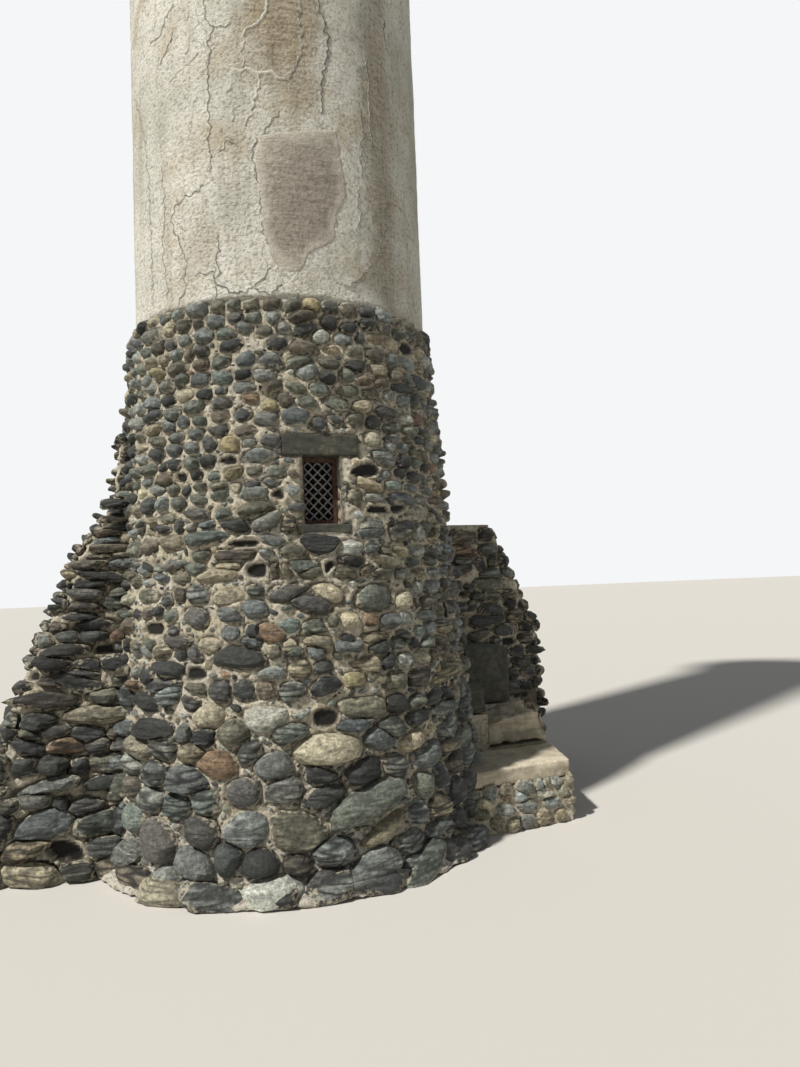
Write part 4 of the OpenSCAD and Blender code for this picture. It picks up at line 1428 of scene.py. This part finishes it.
def plaster_ring(name, z_low, z_high, fine, coarse, ragged=False):
    """One lift of the coat, with the windows left open and its stains and painted shade stored."""
    turns = drum_sheet_turns(fine, coarse) * TURN + math.pi / 2
    zs = np.linspace(z_low, z_high, int((z_high - z_low) / fine) + 1)
    turn, z = np.meshgrid(turns, zs)
    if ragged:
        lowest = plaster_edge(turn)
        z = lowest + (z - z_low) * (z_high - lowest) / (z_high - z_low)
    radius = plaster_radius(turn, z)
    if ragged:
        radius[0] = SHAFT_R - 0.004
    surface = on_ring(radius, turn, z)
    gap = opening_distance(surface, [
        (WINDOW_TURN, *edges) for sill in UPPER_SILLS
        for edges in ((WINDOW_W / 2, sill, sill + WINDOW_H), (UPPER_SILL_HALF, sill - SILL_H, sill))])
    keep = cell_keep(gap + REVEAL_LAP)
    piece = mesh_piece(name, surface, sheet_faces(surface, True, keep), aged_plaster)
    azimuth = (np.degrees(turn) + 90 + 180) % 360 - 180
    uneven = 0.35 * lumps(surface, 0.25, 3)
    stain_and_shade = np.zeros_like(z)
    for at_azimuth, at_z, wide, tall, strength in STAINS_AND_SHADE:
        far = np.hypot((azimuth - at_azimuth) / wide, (z - at_z) / tall)
        stain_and_shade = np.maximum(stain_and_shade, strength * (1 - smooth_step(far + uneven, 0.35, 1.1)))
    paint_points(piece, "stain_and_shade", stain_and_shade)
    place_piece(piece, "plaster")


PLASTER_JOINT = 5.3
plaster_ring("plaster_lower", DRUM_H, PLASTER_JOINT, fine=0.018, coarse=0.032, ragged=True)
plaster_ring("plaster_upper", PLASTER_JOINT, SHAFT_TOP, fine=0.035, coarse=0.045)

# %% [markdown]
# ## Cracks and the mended bay
# A crack is a thin jagged strip that follows the plaster: its lips stand up a little and its
# middle is painted dark, as painted shadow in the gap. Old cracks were filled with pale putty,
# which stands proud as a soft rib. Each one is given by a few places that it passes, and noise
# makes it wander between them.

# %% Cracks in the plaster
# Each crack: width in metres, how dark its painted shadow is and how pale its filling is, and its
# way as directions from the camera's side in degrees with heights in metres
CRACKS = [
    (0.013, 1, 0, [(15.2, 4.95), (15.2, 4.83), (15.8, 4.76), (17.5, 4.70), (19.3, 4.62), (18.8, 4.56),
                   (17, 4.45), (16, 4.335), (15.3, 4.17)]),
    (0.006, 0.8, 0, [(8.8, 4.95), (8.8, 4.74), (9.2, 4.57), (7.6, 4.44), (4.6, 4.34)]),
    (0.014, 0, 0.9, [(-16.2, 4.42), (-13.4, 4.385), (-4.3, 4.367), (3.2, 4.339)]),
    (0.010, 0, 0.7, [(-1.9, 4.9), (-2.7, 4.70), (-10.2, 4.60), (-11.1, 4.48), (-11.2, 4.40)]),
    (0.010, 0, 0.7, [(-5, 4.35), (-7, 4.22), (-8.2, 4.13), (-11.1, 4.07)]),
    (0.014, 0, 0.6, [(-15.6, 4.325), (-17.2, 4.25), (-15.1, 4.185), (-14.5, 4.10)]),
    (0.006, 1, 0, [(-24.3, 4.95), (-24.3, 4.82), (-23.3, 4.71), (-21, 4.65), (-23.1, 4.59), (-23.2, 4.43),
                   (-23.6, 4.0), (-23.9, 3.82)]),
    (0.006, 0.9, 0, [(-21, 4.65), (-15, 4.65)]),
    (0.008, 1, 0, [(-37.3, 4.87), (-41, 4.82), (-44.5, 4.74), (-51.1, 4.73)]),
    (0.007, 1, 0, [(-37.3, 4.72), (-39.5, 4.66), (-42, 4.60), (-45, 4.56)]),
    (0.007, 1, 0, [(-26.4, 3.77), (-32.3, 3.725), (-38.9, 3.70), (-40.1, 3.62), (-37.3, 3.49), (-34.3, 3.35),
                   (-34.1, 3.22), (-38, 3.10)]),
    (0.011, 1, 0, [(-30.5, 3.27), (-22.5, 3.26), (-21.9, 3.20), (-15.4, 3.13), (-11.9, 3.14), (-6.3, 3.21),
                   (-3.5, 3.27)]),
    (0.006, 0.9, 0, [(-7, 4.0), (-8.2, 3.89), (-7, 3.77), (-6.3, 3.62), (-5.8, 3.475), (-3.3, 3.34),
                     (-1.4, 3.29)]),
    (0.010, 1, 0, [(41.5, 4.99), (44.8, 4.915), (45, 4.80), (46.6, 4.73)]),
    (0.008, 0.6, 0.5, [(28.8, 3.81), (28.1, 3.71), (29.6, 3.63), (28.5, 3.555)]),
    (0.006, 0.9, 0, [(41.3, 3.93), (42.5, 3.77), (40.2, 3.57), (35.4, 3.39), (27.8, 3.26), (21.9, 3.19)]),
    (0.007, 0.8, 0.3, [(0.8, 4.15), (-2.1, 4.08), (-4.9, 4.02)]),
    (0.006, 0.8, 0, [(-67.3, 4.55), (-60, 4.33), (-55.7, 4.17), (-53.4, 3.79), (-52.5, 3.54), (-52.6, 3.18)]),
    (0.009, 1, 0, [(-10.4, 3.19), (-8.4, 3.15), (-5.1, 3.12), (0.4, 3.17)]),
    (0.008, 1, 0, [(-21.4, 3.47), (-21.7, 3.30), (-22.1, 3.07)]),
    (0.005, 0.8, 0, [(-13.5, 3.96), (-17, 3.98), (-19.5, 3.93)]),
    (0.005, 0.8, 0, [(-46, 3.95), (-44, 3.72), (-45.5, 3.45), (-43, 3.2)]),
    (0.014, 0, 0.6, [(-33, 4.55), (-30, 4.66), (-31, 4.78), (-34, 4.86)]),
    (0.014, 0, 0.6, [(-40, 4.42), (-33, 4.47), (-27, 4.52)]),
    (0.006, 0.9, 0, [(30.5, 4.3), (31.5, 4.1), (30.2, 3.95), (31, 3.86)]),
    (0.008, 1, 0, [(34, 4.62), (35.5, 4.5), (34.5, 4.3), (36, 4.05)]),
]
CRACK_STEP = 0.011
LIPS = np.array([-0.002, 0.0035, 0.0015, 0.0035, -0.002])
RIB = np.array([-0.002, 0.004, 0.006, 0.004, -0.002])


def shaft_marks(way):
    """Places on the shaft, in metres round it and up it, from directions and heights."""
    marks = np.array(way, float)
    marks[:, 0] = np.radians(marks[:, 0] - 90) * SHAFT_R
    return marks


def crack_strip(wide, dark, pale, way, rng):
    """Points, faces and shades of one crack: five points across, at each step along its way."""
    marks = shaft_marks(way)
    along = along_path(marks)
    count = max(8, int(along[-1] / CRACK_STEP))
    t = np.linspace(0, along[-1], count)
    turn, z = (np.interp(t, along, marks[:, k]) for k in (0, 1))
    jag = np.convolve(rng.normal(0, 0.006, count + 2), [0.5, 1, 0.5], "valid")
    heading = unit(np.stack([np.gradient(turn), np.gradient(z)], -1))
    sideways = np.stack([-heading[:, 1], heading[:, 0]], -1)
    middle = np.stack([turn, z], -1) + sideways * jag[:, None]
    ends_in = np.sin(np.linspace(0.12, math.pi - 0.12, count)) ** 0.4
    width = wide * (0.55 + 0.6 * rng.random(count)) * ends_in
    across = np.array([-1.5, -0.5, 0, 0.5, 1.5])
    flat = middle[:, None] + sideways[:, None] * (width[:, None] * across)[..., None]
    angle, height = flat[..., 0] / SHAFT_R, flat[..., 1]
    radius = plaster_radius(angle, height) + (LIPS if dark else RIB)
    points = on_ring(radius, angle, height)
    # Painted shadow down the middle of an open crack
    darkness = np.tile(np.array([0, 0.25, 1, 0.25, 0]) * dark, (count, 1))
    paleness = np.tile(np.array([0, 1, 1, 1, 0]) * pale, (count, 1))
    faces = [(i * 5 + k, i * 5 + k + 1, (i + 1) * 5 + k + 1, (i + 1) * 5 + k)
             for i in range(count - 1) for k in range(4)]
    corner = points.reshape(-1, 3)
    normal = np.cross(corner[1] - corner[0], corner[5] - corner[0])
    if normal @ (corner[0] * (1, 1, 0)) < 0:
        faces = [face[::-1] for face in faces]
    return corner, faces, darkness.ravel(), paleness.ravel()


rng = np.random.default_rng(47)
points, faces, darkness, paleness = zip(*(crack_strip(*crack, rng) for crack in CRACKS))
firsts = np.cumsum([0] + [len(strip) for strip in points]).tolist()
crack_faces = [tuple(first + k for k in face) for first, strip in zip(firsts, faces) for face in strip]
cracks = mesh_piece("plaster_cracks", np.vstack(points), crack_faces, aged_plaster)
paint_points(cracks, "crack", np.concatenate(darkness))
paint_points(cracks, "filled", np.concatenate(paleness))
place_piece(cracks, "plaster")

# %% The mended bay
REPAIR_EDGE = [(-6.3, 4.008), (20.8, 4.093), (24.0, 3.726), (19.7, 3.593), (18.6, 3.45), (9.0, 3.348),
               (6.7, 3.253), (2.6, 3.249), (-2.7, 3.293), (-5.8, 3.475), (-6.8, 3.703), (-7.9, 3.876)]
REPAIR_T = 0.003


def repair_points():
    """A fan of points from the bay's middle to its wavering edge, raised by the mend's thickness."""
    marks = shaft_marks(REPAIR_EDGE + REPAIR_EDGE[:1])
    along = along_path(marks)
    count = 300
    t = np.linspace(0, along[-1], count, endpoint=False)
    edge = np.stack([np.interp(t, along, marks[:, k]) for k in (0, 1)], -1)
    centre = edge.mean(axis=0)
    wobble = lumps(np.column_stack([edge, np.zeros(count)]), 0.07, 3)
    edge += unit(edge - centre) * (0.012 * wobble)[:, None]
    shares = np.concatenate([np.linspace(0.03, 0.97, 34), [0.99, 1.0]])
    flat = centre + (edge - centre) * shares[:, None, None]
    lift = REPAIR_T * (1 - smooth_step(shares, 0.975, 1.0)) - 0.002 * (shares == 1.0)
    angle, height = flat[..., 0] / SHAFT_R, flat[..., 1]
    radius = plaster_radius(angle, height) + lift[:, None]
    thinned = smooth_step(shares[:, None] + 0.12 * lumps(np.dstack([flat, 0 * radius]), 0.06, 3), 0.66, 1.04)
    return on_ring(radius, angle, height), thinned


bay, thinned = repair_points()
bay_faces = [face[::-1] for face in sheet_faces(bay, True)] + [tuple(range(bay.shape[1]))]
repair = mesh_piece("mended_bay", bay, bay_faces, trowelled_repair)
if Vector(repair.data.polygons[0].normal).dot(Vector(bay[0, 0] * (1, 1, 0))) < 0:
    repair.data.flip_normals()
paint_points(repair, "thinned", 0.8 * thinned)
place_piece(repair, "plaster")

# %% [markdown]
# ## Finishes of dressed stone, timber and metal
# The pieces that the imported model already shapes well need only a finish. They share a recipe:
# patches of colour, layers and grain, at sizes that belong to the material.

# %% Worn finishes


def worn_finish(name, rough, colours, patch, layer, grain=0.005):
    """A worn surface: colour patches, layers and grain, each about as wide as given in metres."""
    finish, tree, shader, place = new_finish(name, rough)
    flat = add(tree, MAPPING, {"Vector": place, "Scale": (0.16, 0.16, 1)}).outputs[0]
    spots = add(tree, NOISE, {"Vector": place, "Scale": 1 / patch, "Detail": 5, "Roughness": 0.6}).outputs[0]
    layers = add(tree, NOISE, {"Vector": flat, "Scale": 1 / layer, "Detail": 4, "Distortion": 0.5}).outputs[0]
    grains = add(tree, NOISE, {"Vector": place, "Scale": 1 / grain, "Detail": 4, "Roughness": 0.7}).outputs[0]
    colour = add(tree, RAMP, {0: spots}, list(zip((0.3, 0.5, 0.7), colours))).outputs[0]
    colour = darkened(tree, colour, (layers, 0.5, (0.34, "#8c8880"), (0.6, "#ffffff")),
                      (grains, 0.55, (0.34, "#7c7870"), (0.6, "#ffffff")))
    dressed(tree, shader, colour, (layers, 0.005, 0.5), (spots, 0.010, 0.5), (grains, 0.002, 0.6))
    return finish


# Roughness, colours from dark to light, and how wide a patch and a layer are, in metres
dark_slab = worn_finish("dark_slab", 0.85, ("#383a34", "#4e4f46", "#676557"), 0.05, 0.02)
pale_slab = worn_finish("pale_slab", 0.88, ("#c6bda5", "#dad1ba", "#e6dfcd"), 0.05, 0.07)
grey_slab = worn_finish("grey_slab", 0.88, ("#6d675c", "#8b8475", "#a59c88"), 0.12, 0.02)
aged_timber = worn_finish("aged_timber", 0.8, ("#5f5142", "#7a6a56", "#8d7d68"), 0.15, 0.006)
rusty_iron = worn_finish("rusty_iron", 0.85, ("#3a2820", "#573b2e", "#785b4b"), 0.02, 0.01, grain=0.003)
grey_iron = worn_finish("grey_iron", 0.6, ("#777a7c", "#93979a", "#a9adaf"), 0.03, 0.01, grain=0.003)
lead_sheet = worn_finish("lead_sheet", 0.5, ("#5a5e62", "#73787d", "#8d9296"), 0.08, 0.02)
shingle_wood = worn_finish("shingle_wood", 0.85, ("#5d554b", "#7a7065", "#958a7c"), 0.09, 0.004)
tree = shingle_wood.node_tree
shader = tree.nodes["Principled BSDF"]
weathered = shader.inputs["Base Color"].links[0].from_socket
own = add(tree, STORED, attribute_name="own_colour").outputs["Color"]
weathered = add(tree, MIX, {0: 1.0, 6: weathered, 7: own}, data_type="RGBA", blend_type="MULTIPLY").outputs[2]
tree.links.new(weathered, shader.inputs["Base Color"])

# %% Masonry seen from inside
inner_masonry, tree, shader, place = new_finish("inner_masonry", 0.9)
coursed = add(tree, MAPPING, {"Vector": place, "Scale": (7.5, 7.5, 11)}).outputs[0]
cells = add(tree, CELLS, {"Vector": coursed, "Scale": 1.0, "Randomness": 0.85})
borders = add(tree, CELLS, {"Vector": coursed, "Scale": 1.0, "Randomness": 0.85},
              feature="DISTANCE_TO_EDGE").outputs["Distance"]
picked = add(tree, "ShaderNodeSeparateColor", {0: cells.outputs["Color"]}).outputs[0]
colour = add(tree, RAMP, {0: picked}, [
    (0.0, "#454a4d"), (0.22, "#646c70"), (0.4, "#6d6959"), (0.58, "#8a8778"), (0.75, "#5c5349"),
    (0.95, "#a89c80")]).outputs[0]
joint = add(tree, RANGE, {0: borders, 1: 0.05, 2: 0.12}).outputs[0]
colour = add(tree, MIX, {0: joint, 6: paint("#a99d84"), 7: colour}, data_type="RGBA").outputs[2]
mottle = add(tree, NOISE, {"Vector": place, "Scale": 50, "Detail": 5}).outputs[0]
colour = darkened(tree, colour, (mottle, 0.7, (0.3, "#808080"), (0.65, "#ffffff")))
face_out = add(tree, RANGE, {0: borders, 1: 0.02, 2: 0.2}).outputs[0]
dressed(tree, shader, colour, (face_out, 0.02, 0.8), (mottle, 0.003, 0.6))

# %% [markdown]
# ## Worn slabs
# Lintels, sills and steps are single stones whose arrises have worn away. Remeshing a copy of
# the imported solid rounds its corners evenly, and noise then takes a little off the faces, so
# every stone stays inside the size that the model gives it.

# %% Worn slabs


def worn_stone(name, node_name, slot, finish, cell, depth, size):
    """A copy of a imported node, remeshed in cells and worn down about as deep as given, by lumps of
    noise of a size."""
    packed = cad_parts[node_name].data
    draft = mesh_piece(name + "_draft", [v.co[:] for v in packed.vertices],
                       [tuple(p.vertices) for p in packed.polygons], finish)
    for kind, settings in (("WELD", {"merge_threshold": 0.0002}),
                           ("REMESH", {"mode": "VOXEL", "voxel_size": cell}),
                           ("SMOOTH", {"factor": 0.5, "iterations": 4})):
        modifier = draft.modifiers.new(kind.lower(), kind)
        for setting, value in settings.items():
            setattr(modifier, setting, value)
    mesh = grown_mesh(draft, name)
    corners = np.array([v.co[:] for v in mesh.vertices])
    normals = np.array([v.normal[:] for v in mesh.vertices])
    worn = np.clip(0.5 + 0.7 * lumps(corners, size, 3), 0, 1.2) * depth
    corners = corners - normals * worn[:, None]
    corners[:, 2] = np.maximum(corners[:, 2], 0)
    mesh.vertices.foreach_set("co", corners.astype(np.float32).ravel())
    mesh.update()
    mesh.polygons.foreach_set("use_smooth", np.full(len(mesh.polygons), True))
    mesh.materials.clear()
    mesh.materials.append(finish)
    piece = show(name, mesh)
    place_piece(piece, slot, node_name)
    return piece


worn_stone("worn_slab", "step_slab", "pale_stone", pale_slab, cell=0.014, depth=0.012, size=0.12)
worn_stone("worn_block", "step_block", "pale_stone", pale_slab, cell=0.014, depth=0.040, size=0.12)
for cell, depth, size, *pieces in (
        (0.018, 0.014, 0.12, ("worn_upper_step", "step_upper"), ("worn_cheek", "cheek_block")),
        (0.007, 0.004, 0.05, ("worn_lintel", "window_lintel"), ("worn_sill", "window_sill")),
        (0.014, 0.006, 0.08, ("worn_door_lintel", "door_lintel"), ("worn_threshold", "door_threshold"))):
    for name, node_name in pieces:
        worn_stone(name, node_name, "dressed_stone", dark_slab, cell, depth, size)
skirt = worn_stone("foot_skirt", "foot_apron", "mortar", sandy_mortar, cell=0.012, depth=0.022, size=0.09)
paint_points(skirt, "lime", np.full(len(skirt.data.vertices), 0.75))

# %% [markdown]
# ## Rubble under the steps
# Paler beach stones in whitish mortar carry the slab. Their face follows the slab's outline,
# out along its near side, across its slanting end and on to the wing wall.

# %% Steps rubble
SLAB_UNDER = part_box("step_slab")[0].z
# Places on the slab's outline, out and across in the doorway's direction
STEPS_PATH = [(0.8, -0.76), (1.57, -0.76), (1.73, -0.30), (1.71, 0.0), (1.71, WING_NEAR)]
steps_face = path_face(DOOR_TURN, STEPS_PATH)


def steps_blocked(point, wide, tall):
    out, across = in_frame(point, DOOR_TURN)
    return behind_drum(point, wide, tall) or across > WING_NEAR - 0.05 or point[2] > SLAB_UNDER - tall * 0.3


def steps_look(z):
    sizes = buttress_look(0.2)
    sizes.update(tall=0.088, wide=0.12, proud=0.03, power=(6, 10), empty=0.0, fill=(0.95, 1.15), lean=16)
    return sizes


build_wall("steps_stones", steps_face, SLAB_UNDER, steps_look,
           lambda z: STEP_MIX, steps_blocked, seeds=(53, 5), detail=PLAIN)

# %% [markdown]
# ## Shingles on the roof
# The roof is laid in rings of split boards from the eaves up, each ring over the heads of the
# one below, with the same tree as the chips. The uppermost are shorter, since the cone ends.

# %% Shingles
SHINGLE_W = 0.14
SHINGLE_SHOWN = 0.11
SHINGLE_LONG = 0.24
SHINGLE_T = 0.020
SHINGLE_FORMS = 5
SHORTEST = 0.08
SHINGLE_TILT = 3.2
SHINGLE_LIFT = 0.010
TIP_BARE = 0.10
ROOF_PITCH = math.radians(52)
EAVES_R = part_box("roof_cone")[1].x
ROOF_SHELL = 0.042
EAVES_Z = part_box("roof_cone")[0].z + ROOF_SHELL / math.cos(ROOF_PITCH)
ROOF_TIP = EAVES_Z + EAVES_R * math.tan(ROOF_PITCH)


def shingle_form(name, rng):
    """A split board: thick and a little ragged at its butt, thin at its head."""
    skew = rng.uniform(-0.06, 0.06, 3)
    outline = [(-0.48, skew[0] - 0.5), (0.0, skew[1] - 0.5), (0.48, skew[2] - 0.5), (0.47, 0.5), (-0.47, 0.5)]
    thick = [1.0, 1.05, 0.9, 0.3, 0.3]
    points = [(x, y, 0.0) for x, y in outline] + [(x, y, t) for (x, y), t in zip(outline, thick)]
    faces = [(4, 3, 2, 1, 0), (5, 6, 7, 8, 9)]
    faces += [(i, (i + 1) % 5, 5 + (i + 1) % 5, 5 + i) for i in range(5)]
    mesh = bpy.data.meshes.new(name)
    mesh.from_pydata(points, [], faces)
    return bpy.data.objects.new(name, mesh)


rng = np.random.default_rng(61)
shingle_forms = bpy.data.collections.new("shingle_forms")
for i in range(SHINGLE_FORMS):
    shingle_forms.objects.link(shingle_form(f"form_{i:02d}", rng))
shingles = []
slope_long = EAVES_R / math.cos(ROOF_PITCH)
butt = 0.0
while slope_long - TIP_BARE - butt > SHORTEST:
    long = min(SHINGLE_LONG, slope_long - TIP_BARE - butt)
    r = EAVES_R - (butt + SHINGLE_SHOWN / 2) * math.cos(ROOF_PITCH)
    count = max(7, int(TURN * r / SHINGLE_W))
    start = rng.uniform(0, TURN)
    for k in range(count):
        turn = start + TURN * (k + rng.uniform(-0.06, 0.06)) / count
        round_way = np.array([-math.sin(turn), math.cos(turn), 0.0])
        up_way = np.array([-math.cos(turn) * math.cos(ROOF_PITCH), -math.sin(turn) * math.cos(ROOF_PITCH),
                           math.sin(ROOF_PITCH)])
        out_way = np.cross(round_way, up_way)
        tilt = math.radians(rng.normal(SHINGLE_TILT, 0.7))
        up_tilted = unit(up_way * math.cos(tilt) - out_way * math.sin(tilt))
        at_r = EAVES_R - (butt + rng.normal(0, 0.004) + long / 2) * math.cos(ROOF_PITCH)
        pos = np.array([at_r * math.cos(turn), at_r * math.sin(turn), ROOF_TIP - at_r * math.tan(ROOF_PITCH)])
        grey = rng.uniform(0.65, 1.25)
        shingles.append({
            "pos": pos + out_way * SHINGLE_LIFT,
            "axes": (round_way, up_tilted, np.cross(round_way, up_tilted)),
            "spread": (TURN * r / count * rng.uniform(0.9, 1.0), long, SHINGLE_T),
            "form": int(rng.integers(SHINGLE_FORMS)), "colour": (grey, grey, grey, 1.0),
        })
    butt += SHINGLE_SHOWN
place_piece(set_pieces("roof_shingles", shingles, shingle_forms, shingle_wood), "shingle")
print(len(shingles), "shingles")

# %% [markdown]
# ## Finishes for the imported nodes
# The nodes that still show get finishes of their own: laid stone for walls seen from inside,
# plaster for the shaft's reveals, timber for the roof frame, rust for the window frames.

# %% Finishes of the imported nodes
BY_NODE = {
    "step_slab": pale_slab, "step_block": pale_slab, "ground_floor": grey_slab,
    "wall_plate": aged_timber, "rafters": aged_timber, "roof_cone": aged_timber,
    "window_frames": rusty_iron, "window_lattices": grey_iron, "finial": lead_sheet,
    "foot_apron": sandy_mortar, "steps_rubble": sandy_mortar,
}
for node_name in ("window_lintel", "window_sill", "shaft_sills", "door_lintel", "door_threshold",
                  "step_upper", "cheek_block"):
    BY_NODE[node_name] = dark_slab
for node_name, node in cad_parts.items():
    finish = BY_NODE.get(node_name, aged_plaster if node_name.startswith("shaft_") else inner_masonry)
    node.data.materials.clear()
    node.data.materials.append(finish)
print(len(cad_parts), "nodes have their finish")
